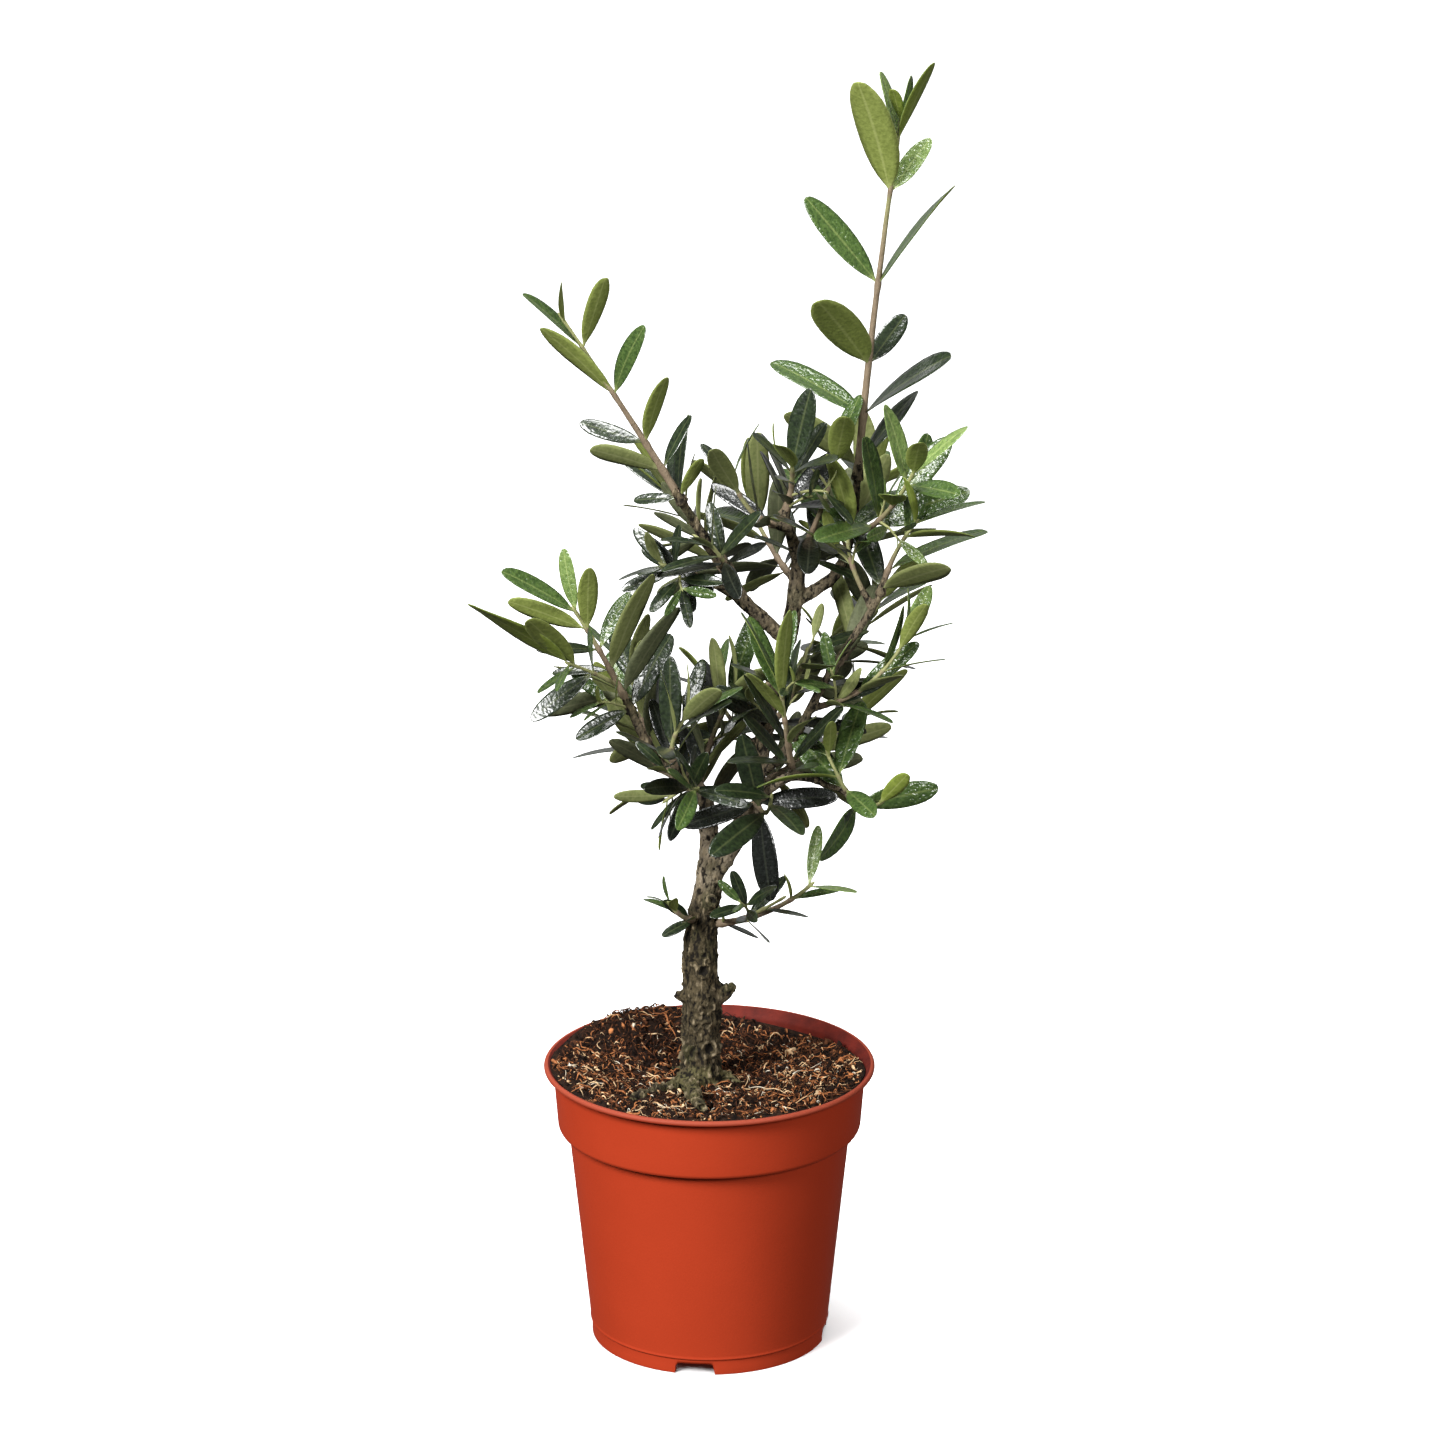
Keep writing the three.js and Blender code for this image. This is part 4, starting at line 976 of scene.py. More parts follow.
SPRAYS: tuple[Spray, ...] = (
    Spray("spray_top_leader", (0.9, 2.7), (
        Shoot(on="bough_upper_right", at=1, tip=(66.5, 4, 452), bow=(-1, 1, 0), radius=(1.5, 0.6),
              broad=1.25, rows=(
            (0.04, 280, (32, 54, 60), (31, 30, 10)), (0.18, 240, (38, 70, -10), (40, 42, 20)),
            (0.32, 320, (42, 46, 30), (22, 50, 40)), (0.54, 250, (37, 50, -20), (43, 26, 20)),
            (0.79, 300, (42, 22, 30), (21, 34, 50)), (0.93, 230, (22, 22, 10), (31, 14, 10)),
            (0.98, 330, (14, 30, -10), (14, 16, 90)),
        )),
    )),
    Spray("spray_upper_left", (1, 2.6), (
        Shoot(on="bough_upper_left", at=1, tip=(-51, -14, 385), bow=(1.5, 1, -1.5), radius=(1.5, 0.5),
              broad=1.1, rows=(
            (0.03, 250, (15, 70, -40), (17, 54, -40)), (0.19, 290, (26, 38, 50), (19, 58, 20)),
            (0.34, 250, (22, 46, -30), (26, 42, -30)), (0.6, 250, (33, 10, 50), (28, 46, 60)),
            (0.84, 270, (27, 10, -20), (26, 46, -50)), (0.97, 220, (16, 10, -90), (17, 30, 40)),
        )),
    )),
    Spray("spray_lower_left", (0.5, 2.4), (
        Shoot(on="bough_left", at=1, tip=(-47, -14, 279), bow=(0.5, 0, 0.5), radius=(1.4, 0.6),
              broad=1.05, rows=(
            (0.03, 300, (21, 82, -50), (28, 58, 60)), (0.17, 270, (28, 78, 80), (37, 50, -50)),
            (0.4, 270, (18, 62, -20), (38, 42, -50)), (0.6, 300, (22, 50, -30), (21, 58, 40)),
            (0.8, 250, (27, 42, 80), (25, 30, -50)), (0.97, 300, (30, 22, -40), (21, 18, 10)),
        )),
        Shoot(branch=0.25, tip=(-49, -25, 263), bow=(0, 0, 0.5), radius=(0.9, 0.5), broad=1.05, rows=(
            (0.5, 270, (25, 62, -30), (18, 40, 10)), (0.85, 100, (33, 18, -10), (15, 50, 0)),
            (0.98, 150, (46, 18, 80), (14, 50, 0)),
        )),
    )),
    Spray("foliage_right_front", (2, 2.6), (
        Shoot(on="bough_upper_right", at=0.72, tip=(71, -24, 332), bow=(0, -3, -4), radius=(1.2, 0.6),
              broad=1.2, pairs=5, first=0.35, leaf=(42, 28, 20), open=(66, 33), roll=155, seed=95),
    )),
    Spray("foliage_right_tip", (0.9, 2.3), (
        Shoot(on="bough_right", at=1, tip=(72, -18, 312), bow=(-1, 2, 1), radius=(1.2, 0.5), broad=1,
              pairs=4, first=0.07, leaf=(38, 38, 19), open=(69, 33), roll=25, seed=31),
    )),
    Spray("foliage_right_inner", (0.8, 1.8), (
        Shoot(on="bough_right", at=0.84, tip=(50, -6, 308), bow=(-4, 0, 2), radius=(1, 0.5), broad=1.2,
              pairs=5, first=0.44, leaf=(25, 33, 21), open=(62, 43), roll=45, seed=111),
    )),
    Spray("foliage_right_middle", (1.2, 2.4), (
        Shoot(on="bough_right", at=0.32, tip=(69, -27, 273), bow=(2, -7, -3), radius=(1.1, 0.5), broad=0.9,
              pairs=6, first=0.12, leaf=(21, 24, 16), open=(29, 26), roll=170, seed=77),
    )),
    Spray("foliage_front", (0.8, 2.1), (
        Shoot(on="bough_lower_right", at=0.36, tip=(25, -29, 256), bow=(0, -7, 1), radius=(1.3, 0.6),
              broad=0.95, pairs=6, first=0.07, leaf=(25, 31, 26), open=(42, 19), roll=35, seed=42),
    )),
    Spray("foliage_centre", (0.3, 1.5), (
        Shoot(on="bough_main", at=0.62, tip=(34, -16, 264), bow=(1, -6, -1), radius=(1.2, 0.6), broad=1.05,
              pairs=5, first=0.15, leaf=(26, 30, 27), open=(71, 48), roll=105, seed=298),
    )),
    Spray("foliage_lower_right", (1.8, 2.6), (
        Shoot(on="bough_lower_right", at=1, tip=(60, -27, 212), bow=(-1, -2, -2), radius=(1.1, 0.5),
              broad=1.2, pairs=2, first=0.32, leaf=(20, 27, 13), open=(69, 36), roll=35, seed=208),
        Shoot(branch=0.04, tip=(42, -25, 229), bow=(1, -3, -2), radius=(0.9, 0.5), broad=1.25,
              pairs=3, first=0.34, leaf=(21, 26, 13), open=(76, 46), roll=35, seed=1),
    )),
    Spray("foliage_low_front", (0, 1.3), (
        Shoot(on="bough_main", at=0.38, tip=(22, -31, 216), bow=(1, -2, -5), radius=(1.1, 0.5), broad=1.05,
              pairs=5, first=0.09, leaf=(26, 29, 21), open=(71, 45), roll=105, seed=55),
    )),
    Spray("foliage_left_front", (0.1, 1.5), (
        Shoot(on="bough_left", at=0.5, tip=(-4, -31, 219), bow=(-1, 0, -2), radius=(1.1, 0.5), broad=0.9,
              pairs=5, first=0.5, leaf=(19, 23, 20), open=(48, 29), roll=70, seed=68),
    )),
    Spray("foliage_left_low", (0, 1.2), (
        Shoot(on="bough_left", at=0.34, tip=(-15, -8, 207), bow=(2, -2, 5), radius=(1, 0.5), broad=0.85,
              pairs=5, first=0.38, leaf=(15, 19, 17), open=(59, 46), roll=335, seed=267),
    )),
    Spray("foliage_left_middle", (0, 1.4), (
        Shoot(on="bough_left", at=0.55, tip=(-8, -17, 241), bow=(-4, -2, 0), radius=(1.1, 0.5), broad=0.95,
              pairs=6, first=0.2, leaf=(18, 27, 22), open=(49, 25), roll=0, seed=74),
    )),
    Spray("foliage_left_inner", (0, 1.2), (
        Shoot(on="bough_left", at=0.42, tip=(9, 3, 244), bow=(-1, 4, 0), radius=(1.2, 0.6), broad=0.85,
              pairs=6, first=0.16, leaf=(19, 36, 21), open=(46, 29), roll=25, seed=84),
    )),
    Spray("foliage_side", (0.2, 1.3), (
        Shoot(on="bough_side", at=1, tip=(-16, -5, 293), bow=(1, 0, -1), radius=(1, 0.5), broad=1.15,
              pairs=5, first=0.05, leaf=(14, 17, 17), open=(72, 34), roll=255, seed=298),
    )),
    Spray("foliage_upper_left", (0.3, 1.4), (
        Shoot(on="bough_upper_left", at=0.7, tip=(-11, 14, 310), bow=(-1, 3, -1), radius=(1, 0.5), broad=0.9,
              pairs=6, first=0.06, leaf=(17, 19, 26), open=(50, 24), roll=10, seed=22),
    )),
    Spray("foliage_fork", (0, 1.1), (
        Shoot(on="bough_upper_left", at=0.52, tip=(1, -12, 302), bow=(1, -3, 0), radius=(1, 0.5), broad=1.05,
              pairs=5, first=0.27, leaf=(15, 22, 19), open=(67, 37), roll=95, seed=105),
    )),
    Spray("foliage_top", (0, 1.4), (
        Shoot(on="bough_centre", at=1, tip=(29, -11, 330), bow=(1, 2, -1), radius=(1.4, 0.6), broad=1.25,
              pairs=6, first=0.15, leaf=(20, 21, 26), open=(57, 26), roll=60, seed=58),
    )),
    Spray("foliage_top_left", (0, 1.4), (
        Shoot(on="bough_centre", at=0.8, tip=(8, -8, 326), bow=(-2, -1, -4), radius=(1.2, 0.6), broad=0.9,
              pairs=4, first=0.24, leaf=(17, 27, 22), open=(61, 28), roll=5, seed=263),
    )),
    Spray("foliage_top_right", (0.4, 1.7), (
        Shoot(on="bough_centre", at=0.52, tip=(44, -7, 331), bow=(1, -3, 0), radius=(1.2, 0.6), broad=1.05,
              pairs=4, first=0.06, leaf=(16, 29, 28), open=(73, 39), roll=80, seed=8),
    )),
    Spray("foliage_trunk_right", (0.4, 2.6), (
        Shoot(on="trunk", at=0.67, tip=(36, -17, 178), bow=(2, -1, -3), radius=(1.6, 0.6), broad=0.9,
              pairs=4, first=0.16, leaf=(14, 15, 19), open=(57, 44), roll=305, seed=269),
        Shoot(branch=0.3, tip=(26, -17, 173), bow=(-1, 0, -1), radius=(0.9, 0.5), broad=0.85,
              pairs=3, first=0.28, leaf=(15, 18, 20), open=(63, 17), roll=350, seed=279),
    )),
    Spray("foliage_trunk_left", (1, 2.2), (
        Shoot(on="trunk", at=0.7, tip=(-14, -12, 169), bow=(0, -1, -3), radius=(1.4, 0.6), broad=1.2,
              pairs=4, first=0.2, leaf=(16, 11, 9), open=(28, 29), roll=35, seed=168),
    )),
)

REAR: tuple[RearSpray, ...] = (
    RearSpray("bough_centre", at=0.3, azimuth=114, reach=42, rise=19, pairs=7, roll=45, seed=132),
    RearSpray("bough_upper_right", at=0.5, azimuth=74, reach=42, rise=21, pairs=7, roll=160, seed=228),
    RearSpray("bough_upper_left", at=0.42, azimuth=123, reach=39, rise=25, pairs=6, roll=75, seed=183),
    RearSpray("bough_main", at=0.76, azimuth=65, reach=47, rise=1, pairs=6, roll=230, seed=160),
    RearSpray("bough_main", at=0.56, azimuth=114, reach=43, rise=11, pairs=7, roll=195, seed=165),
    RearSpray("bough_main", at=0.44, azimuth=53, reach=58, rise=10, pairs=7, roll=260, seed=180),
    RearSpray("bough_left", at=0.36, azimuth=128, reach=47, rise=21, pairs=7, roll=25, seed=274),
    RearSpray("bough_left", at=0.74, azimuth=105, reach=31, rise=21, pairs=6, roll=25, seed=139),
    RearSpray("bough_right", at=0.45, azimuth=65, reach=42, rise=14, pairs=6, roll=290, seed=246),
)

# Pruned stubs on the trunk: where each starts and ends, and its two radii
STUBS: tuple[tuple[Point, Point, tuple[float, float]], ...] = (
    ((-2.8, -2.2, 127), (8.8, -3, 135.4), (4.8, 2.5)),
    ((-2.8, -2.2, 129.5), (-12.6, -5, 131.8), (3, 2.1)),
    ((-3, -2, 141), (-2, -9, 142.4), (3.2, 2.4)),
    ((-2, -1, 165), (1.5, -7.4, 169), (3.6, 2.6)),
)

# Surface roots that run out from the trunk's flare
ROOTS: tuple[tuple[Waypoint, ...], ...] = (
    ((-6, -6, 101, 3.4), (-13, -13, 99.6, 2.4), (-20, -21, 100.4, 1.9), (-28, -32, 101.9, 1)),
    ((-5, -7, 101, 3.8), (-6.5, -16, 99.8, 3.2), (-5.4, -26, 100.6, 2.8), (-2.4, -42, 102.6, 1.8)),
    ((1, -2, 101.4, 3.2), (7, -4, 99.2, 2), (12, -7, 98.8, 1.2)),
    ((-5, 0, 101, 3), (-10, 4, 99.1, 1.8), (-14, 7, 98.8, 1)),
)


@dataclass(frozen=True)
class Limb:
    """A woody limb: a smooth curve through waypoints, whose girth runs straight from one to the next."""

    path: tuple[Waypoint, ...]

    def at(self, t: Array) -> Array:
        """Points of the middle: between two waypoints, the cubic that also heeds the ones before and after.

        Args:
            t: Shares of the limb's length, counted in waypoints.

        Returns:
            The points, shaped (n, 3).
        """
        knots = np.array(self.path, float)[:, :3]
        knots = np.concatenate([2 * knots[:1] - knots[1:2], knots, 2 * knots[-1:] - knots[-2:-1]])
        place = np.clip(np.atleast_1d(t) * (len(self.path) - 1), 0, len(self.path) - 1 - 1e-9)
        i = place.astype(int)
        w = (place - i)[:, None]
        a, b, c, d = knots[i], knots[i + 1], knots[i + 2], knots[i + 3]
        square, cube = 2 * a - 5 * b + 4 * c - d, 3 * b - a - 3 * c + d
        return 0.5 * (2 * b + (c - a) * w + square * w**2 + cube * w**3)

    def girth(self, t: Array) -> Array:
        """Radius at shares of the length: straight lines between the waypoints' radii."""
        count = len(self.path)
        return np.interp(np.atleast_1d(t) * (count - 1), np.arange(count), np.array(self.path)[:, 3])


def samples(line: "Limb | Twig", count: int) -> tuple[Array, Array]:
    """Evenly spread points of a limb's or a twig's middle, and their radii."""
    t = np.linspace(0, 1, count + 1)
    return line.at(t), line.girth(t)


def grown_limbs() -> dict[str, Limb]:
    """The limbs of the table, by name."""
    return {name: Limb(path) for name, path in LIMBS.items()}


# Wood


@dataclass
class Wood:
    """Trunk, boughs, stubs and surface roots, grown into one another and covered with bark."""

    limbs: dict[str, Limb]
    twigs: list["Twig"]
    soil: Soil
    foot: float = 94.5
    cell: float = 0.5
    limb_sides: int = 20
    stub_sides: int = 16
    root_sides: int = 14
    collar_sides: int = 12
    collar_length: float = 8.0
    batch: int = 4000
    knots: tuple[tuple[Point, float, float], ...] = (
        ((-2.0, -9.2, 142.4), 2.1, 1.7), ((-1.6, -8.6, 148.0), 1.3, 0.7), ((1.5, -7.6, 169.3), 1.7, 1.0),
        ((10.8, -3.1, 136.4), 2.2, 0.7), ((-12.9, -5.1, 131.9), 1.7, 0.6), ((0.4, -9.6, 112.6), 2.4, 1.7),
    )
    bark: Finish = Finish(
        "olive_bark", (0.122, 0.094, 0.050), (0.037, 0.029, 0.015), grain=0.0018, stretch=(1.0, 1.0, 0.6),
        contrast=0.25, roughness=0.85, specular=0.25, bump=1.0, bump_grain=0.0009, bump_height=0.0016,
        layers=(
            Layer("moss", (0.050, 0.052, 0.017), 0.45, 0.85, 0.65),
            Layer("pale", (0.460, 0.375, 0.265), 0.0, 1.0, 0.92),
            Layer("damp", (0.150, 0.134, 0.056), 0.0, 1.0, 0.7),
            # Painted highlight: where the relief mark is high, on the bark's crests, the bark is painted pale
            Layer("relief", (0.39, 0.31, 0.195), 0.60, 1.0, 0.8),
            # Painted shade: where the relief mark is low, in the fissures and the knots' hollows, the bark is
            # painted almost black
            Layer("relief", (0.008, 0.006, 0.004), 0.46, 0.16, 0.95),
        ),
    )

    def build(self) -> None:
        """Grows the limbs together, carves the bark and lays the finish on it."""
        points, faces = self._skin(Surface.join(self._limbs() + self._offshoots() + self._collars()))
        points = self._relaxed(points, faces)
        normal = self._normals(points, faces)
        girth = self._girths(points)
        relief, height = self._bark(points, girth)
        knot = self._knots(points)
        points = points + normal * (height - knot[0])[:, None]
        z = points[:, 2]
        marks = {
            # The relief mark follows the bark's depth, with some of its own mottling, and carries its painted
            # shade and painted highlight
            "relief": np.clip(0.5 + relief - knot[1], 0, 1),
            "pale": smoothstep(156, 186, z) * (1 - 0.65 * smoothstep(198, 232, z))
            * np.clip(0.75 + 0.8 * noise(points, 7.0, 24, 2), 0, 1),
            "moss": 0.42 + noise(points, 8.0, 21, 3) + 0.2 * np.exp(-(((z - 155) / 16) ** 2)),
            "damp": smoothstep(106, 100, z + 6 * noise(points, 5.0, 22, 2)),
        }
        skin = Surface(points, faces, np.zeros(len(faces), int), marks)
        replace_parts(skin.piece("bark_skin", "bark", [self.bark]), *self.limbs)

    def _limbs(self) -> list[Surface]:
        """Tubes round the limbs.

        Returns:
            One for each limb, with a station about every millimetre.
        """
        parts = []
        for limb in self.limbs.values():
            centre, radius = samples(limb, 12 * (len(limb.path) - 1))
            above = centre[:, 2] > self.foot
            parts.append(tubes(centre[None, above], radius[None, above], self.limb_sides))
        return parts

    def _offshoots(self) -> list[Surface]:
        """Tubes round the stubs and the surface roots.

        Returns:
            One for each pruned stub, rounded at its end, and for each root, which lies on the soil.
        """
        parts = []
        t = np.linspace(0, 1, 10)
        for start, end, radius in STUBS:
            centre = np.array(start) + t[:, None] * (np.array(end) - np.array(start))
            end_share = np.clip((t - 0.7) / 0.3, 0, 1)
            girth = (radius[0] + t * (radius[1] - radius[0])) * np.sqrt(1 - 0.7 * end_share**2)
            parts.append(tubes(centre[None], girth[None], self.stub_sides))
        for path in ROOTS:
            centre, radius = samples(Limb(path), 30)
            lying = self.soil.top(centre[:, 0], centre[:, 1]) + 0.6 + 0.3 * radius
            centre = centre + np.maximum(lying - centre[:, 2], 0.6)[:, None] * UP
            sway = noise(centre, 5.0, 8, 2)[:, None] * np.array([0.9, 0.9, 0.4])
            girth = radius * (1 + 0.2 * noise(centre, 3.0, 9))
            parts.append(tubes((centre + sway)[None], girth[None], self.root_sides))
        return parts

    def _collars(self) -> list[Surface]:
        """Collars where twigs leave their limbs.

        Returns:
            A short cone at each twig's foot, from 1.8 times the twig's girth down to its own.
        """
        parts = []
        for twig in self.twigs:
            if twig.shoot.on:
                t = np.linspace(0, min(0.5, self.collar_length / twig.span), 6)
                girth = twig.girth(t) * (1 + 0.8 * (1 - t / t[-1]) ** 1.5)
                parts.append(tubes(twig.at(t)[None], girth[None], self.collar_sides))
        return parts

    def _skin(self, rough: Surface) -> tuple[Array, Array]:
        """One closed skin round all the tubes, found by a voxel remesh.

        Args:
            rough: The tubes, which run into one another.

        Returns:
            Points in millimetres, and faces.
        """
        mesh = rough.mesh("rough_wood")
        holder = bpy.data.objects.new("rough_wood", mesh)
        bpy.context.scene.collection.objects.link(holder)
        remesh = holder.modifiers.new("skin", "REMESH")
        remesh.mode = "VOXEL"
        remesh.voxel_size = self.cell * MM
        skin = holder.evaluated_get(bpy.context.evaluated_depsgraph_get()).to_mesh()
        points = np.empty(len(skin.vertices) * 3, np.float32)
        skin.vertices.foreach_get("co", points)
        corners = np.empty(len(skin.loops), np.int32)
        skin.loops.foreach_get("vertex_index", corners)
        totals = np.empty(len(skin.polygons), np.int32)
        skin.polygons.foreach_get("loop_total", totals)
        faces = np.full((len(totals), 4), -1)
        faces[np.arange(4)[None, :] < totals[:, None]] = corners
        bpy.data.objects.remove(holder)
        bpy.data.meshes.remove(mesh)
        return points.reshape(-1, 3).astype(float) / MM, faces

    def _relaxed(self, points: Array, faces: Array, rounds: int = 5) -> Array:
        """The points moved towards their neighbours' mean and part of the way back, over and over.

        Args:
            points: The skin's points.
            faces: Its faces.
            rounds: How many times.

        Returns:
            The smoother points.
        """
        after = np.roll(faces, -1, 1)
        after = np.where(after < 0, faces[:, :1], after)
        start, end = faces[faces >= 0], after[faces >= 0]
        ends = np.concatenate([end, start])
        starts = np.concatenate([start, end])
        count = np.bincount(starts, minlength=len(points))
        for step in (0.55, -0.5) * rounds:
            mean = np.stack([np.bincount(starts, points[ends, axis], len(points)) for axis in range(3)], -1)
            points = points + step * (mean / count[:, None] - points)
        return points

    def _normals(self, points: Array, faces: Array) -> Array:
        """Unit normals: each face adds the cross product of its diagonals to its first three corners.

        Args:
            points: The skin's points.
            faces: Its faces.

        Returns:
            A normal for each point.
        """
        fourth = np.where(faces[:, 3] < 0, faces[:, 0], faces[:, 3])
        cross = np.cross(points[faces[:, 2]] - points[faces[:, 0]], points[fourth] - points[faces[:, 1]])
        total = np.zeros_like(points)
        for axis in range(3):
            for corner in range(3):
                total[:, axis] += np.bincount(faces[:, corner], cross[:, axis], len(points))
        return unit(total)

    def _girths(self, points: Array) -> Array:
        """How stout the wood is.

        Args:
            points: The skin's points.

        Returns:
            Radius of the nearest limb at each.
        """
        centre = [samples(limb, 60) for limb in self.limbs.values()]
        middles = np.concatenate([c for c, _ in centre])
        radii = np.concatenate([r for _, r in centre])
        girth = np.empty(len(points))
        for low in range(0, len(points), self.batch):
            part = slice(low, low + self.batch)
            away = np.linalg.norm(points[part, None] - middles[None], axis=-1) - radii[None]
            girth[part] = radii[away.argmin(1)]
        return girth

    def _bark(self, points: Array, girth: Array) -> tuple[Array, Array]:
        """The bark's relief: deep on the trunk, crumbled low down and fine on the boughs.

        Short upright fissures come from two noises drawn out along the trunk, warts from the peaks of a round
        one, and lumps from a coarse one.

        Args:
            points: The skin's points.
            girth: Radius of the wood at each.

        Returns:
            Where the bark lies from deep, -0.5, to high, 0.5, and how far its surface moves in millimetres.
        """
        drawn = points * np.array([1.0, 1.0, 0.4])
        crack = 0.85 * smoothstep(0.09, 0.0, np.abs(noise(drawn, 3.0, 3, 2)))
        crack = np.maximum(crack, 0.8 * smoothstep(0.11, 0.0, np.abs(noise(drawn, 1.6, 4, 2))))
        wart = smoothstep(0.1, 0.6, noise(points, 1.9, 7, 2))
        low = smoothstep(136, 112, points[:, 2])
        rough = low * (1 - 0.7 * smoothstep(106, 102.5, points[:, 2]))
        crumble = noise(points, 1.6, 6, 2)
        relief = 0.3 * wart - 0.42 * crack + 0.6 * noise(drawn, 0.9, 8, 2) + 0.42 * low * crumble
        lump = 0.13 * girth * noise(points, 6.5, 5, 2)
        height = lump + (0.07 * girth + 0.12) * (wart - crack - 0.3) + rough * (1.5 * crumble + 0.1)
        return np.clip(relief, -0.5, 0.5), height

    def _knots(self, points: Array) -> tuple[Array, Array]:
        """The knots: round hollows that are deepest in the middle, each inside a raised ring.

        Args:
            points: The skin's points.

        Returns:
            How deep each point sinks, and how dark it is painted: painted shade in the hollow, painted
            highlight on the ring.
        """
        sink = np.zeros(len(points))
        dark = np.zeros(len(points))
        for middle, radius, depth in self.knots:
            away = np.linalg.norm(points - np.array(middle), axis=1) / radius
            sink += depth * (smoothstep(1.0, 0.2, away) - 0.35 * np.exp(-(((away - 1.25) / 0.3) ** 2)))
            # Painted shade in the hollow and a painted highlight on the raised ring, both following the
            # knot's depth
            dark += 0.6 * smoothstep(1.05, 0.5, away) - 0.25 * np.exp(-(((away - 1.3) / 0.25) ** 2))
        return sink, dark


# Foliage


@dataclass(frozen=True)
class Twig:
    """A shoot's twig: a quadratic curve from foot to tip, with a control point two bows off the middle."""

    shoot: Shoot
    foot: Array
    spray: int
    age: tuple[float, float]
    fine: bool = False

    @property
    def tip(self) -> Array:
        """Where it ends."""
        return np.array(self.shoot.tip, float)

    @property
    def control(self) -> Array:
        """Its control point."""
        return (self.foot + self.tip) / 2 + 2 * np.array(self.shoot.bow, float)

    def at(self, t: Array) -> Array:
        """Points at shares t of the twig.

        Foot, control point and tip are weighted by (1 - t) squared, 2 t (1 - t) and t squared.
        """
        t = np.atleast_1d(t)[:, None]
        return (1 - t) ** 2 * self.foot + 2 * t * (1 - t) * self.control + t**2 * self.tip

    def along(self, t: Array) -> Array:
        """Unit tangents at shares t of the twig."""
        t = np.atleast_1d(t)[:, None]
        return unit((1 - t) * (self.control - self.foot) + t * (self.tip - self.control))

    def girth(self, t: Array) -> Array:
        """Radius at shares t of the twig."""
        foot, tip = self.shoot.radius
        return foot + (tip - foot) * np.atleast_1d(t)

    @property
    def span(self) -> float:
        """Straight distance from foot to tip."""
        return float(np.linalg.norm(self.tip - self.foot))


@dataclass
class Leaves:
    """Many leaves, one row each.

    A row holds the leaf's root on the twig, its heading, its upper side, its sizes, its age, and the numbers
    of its twig and its spray.
    """

    root: Array
    heading: Array
    face: Array
    length: Array
    half: Array
    stalk: Array
    age: Array
    twig: Array
    spray: Array

    @property
    def middle(self) -> Array:
        """The middles of the blades, as if they were straight."""
        return self.root + self.heading * (self.stalk + self.length / 2)[:, None]

    @staticmethod
    def join(parts: Sequence["Leaves"]) -> "Leaves":
        """Several sets of leaves as one."""
        names = [f.name for f in fields(Leaves)]
        return Leaves(*(np.concatenate([getattr(part, name) for part in parts]) for name in names))

    def take(self, rows: Array) -> "Leaves":
        """Some of the leaves."""
        return Leaves(*(getattr(self, f.name)[rows] for f in fields(Leaves)))

    def place(self, s: float, across: Array, up: Array, droop: float) -> Array:
        """A point of each leaf: s of the way along the blade, across it and above it, less its droop.

        Args:
            s: Share of the blade's length.
            across: Distance from the midrib.
            up: Height over the blade.
            droop: Share of the length that the tip hangs down.

        Returns:
            The points, shaped (leaves, 3).
        """
        side = np.cross(self.heading, self.face)
        out = (self.stalk + self.length * s)[:, None]
        aside = np.broadcast_to(across, self.length.shape)[:, None]
        lift = (np.asarray(up) - droop * self.length * s * s)[:, None]
        return self.root + self.heading * out + side * aside + self.face * lift


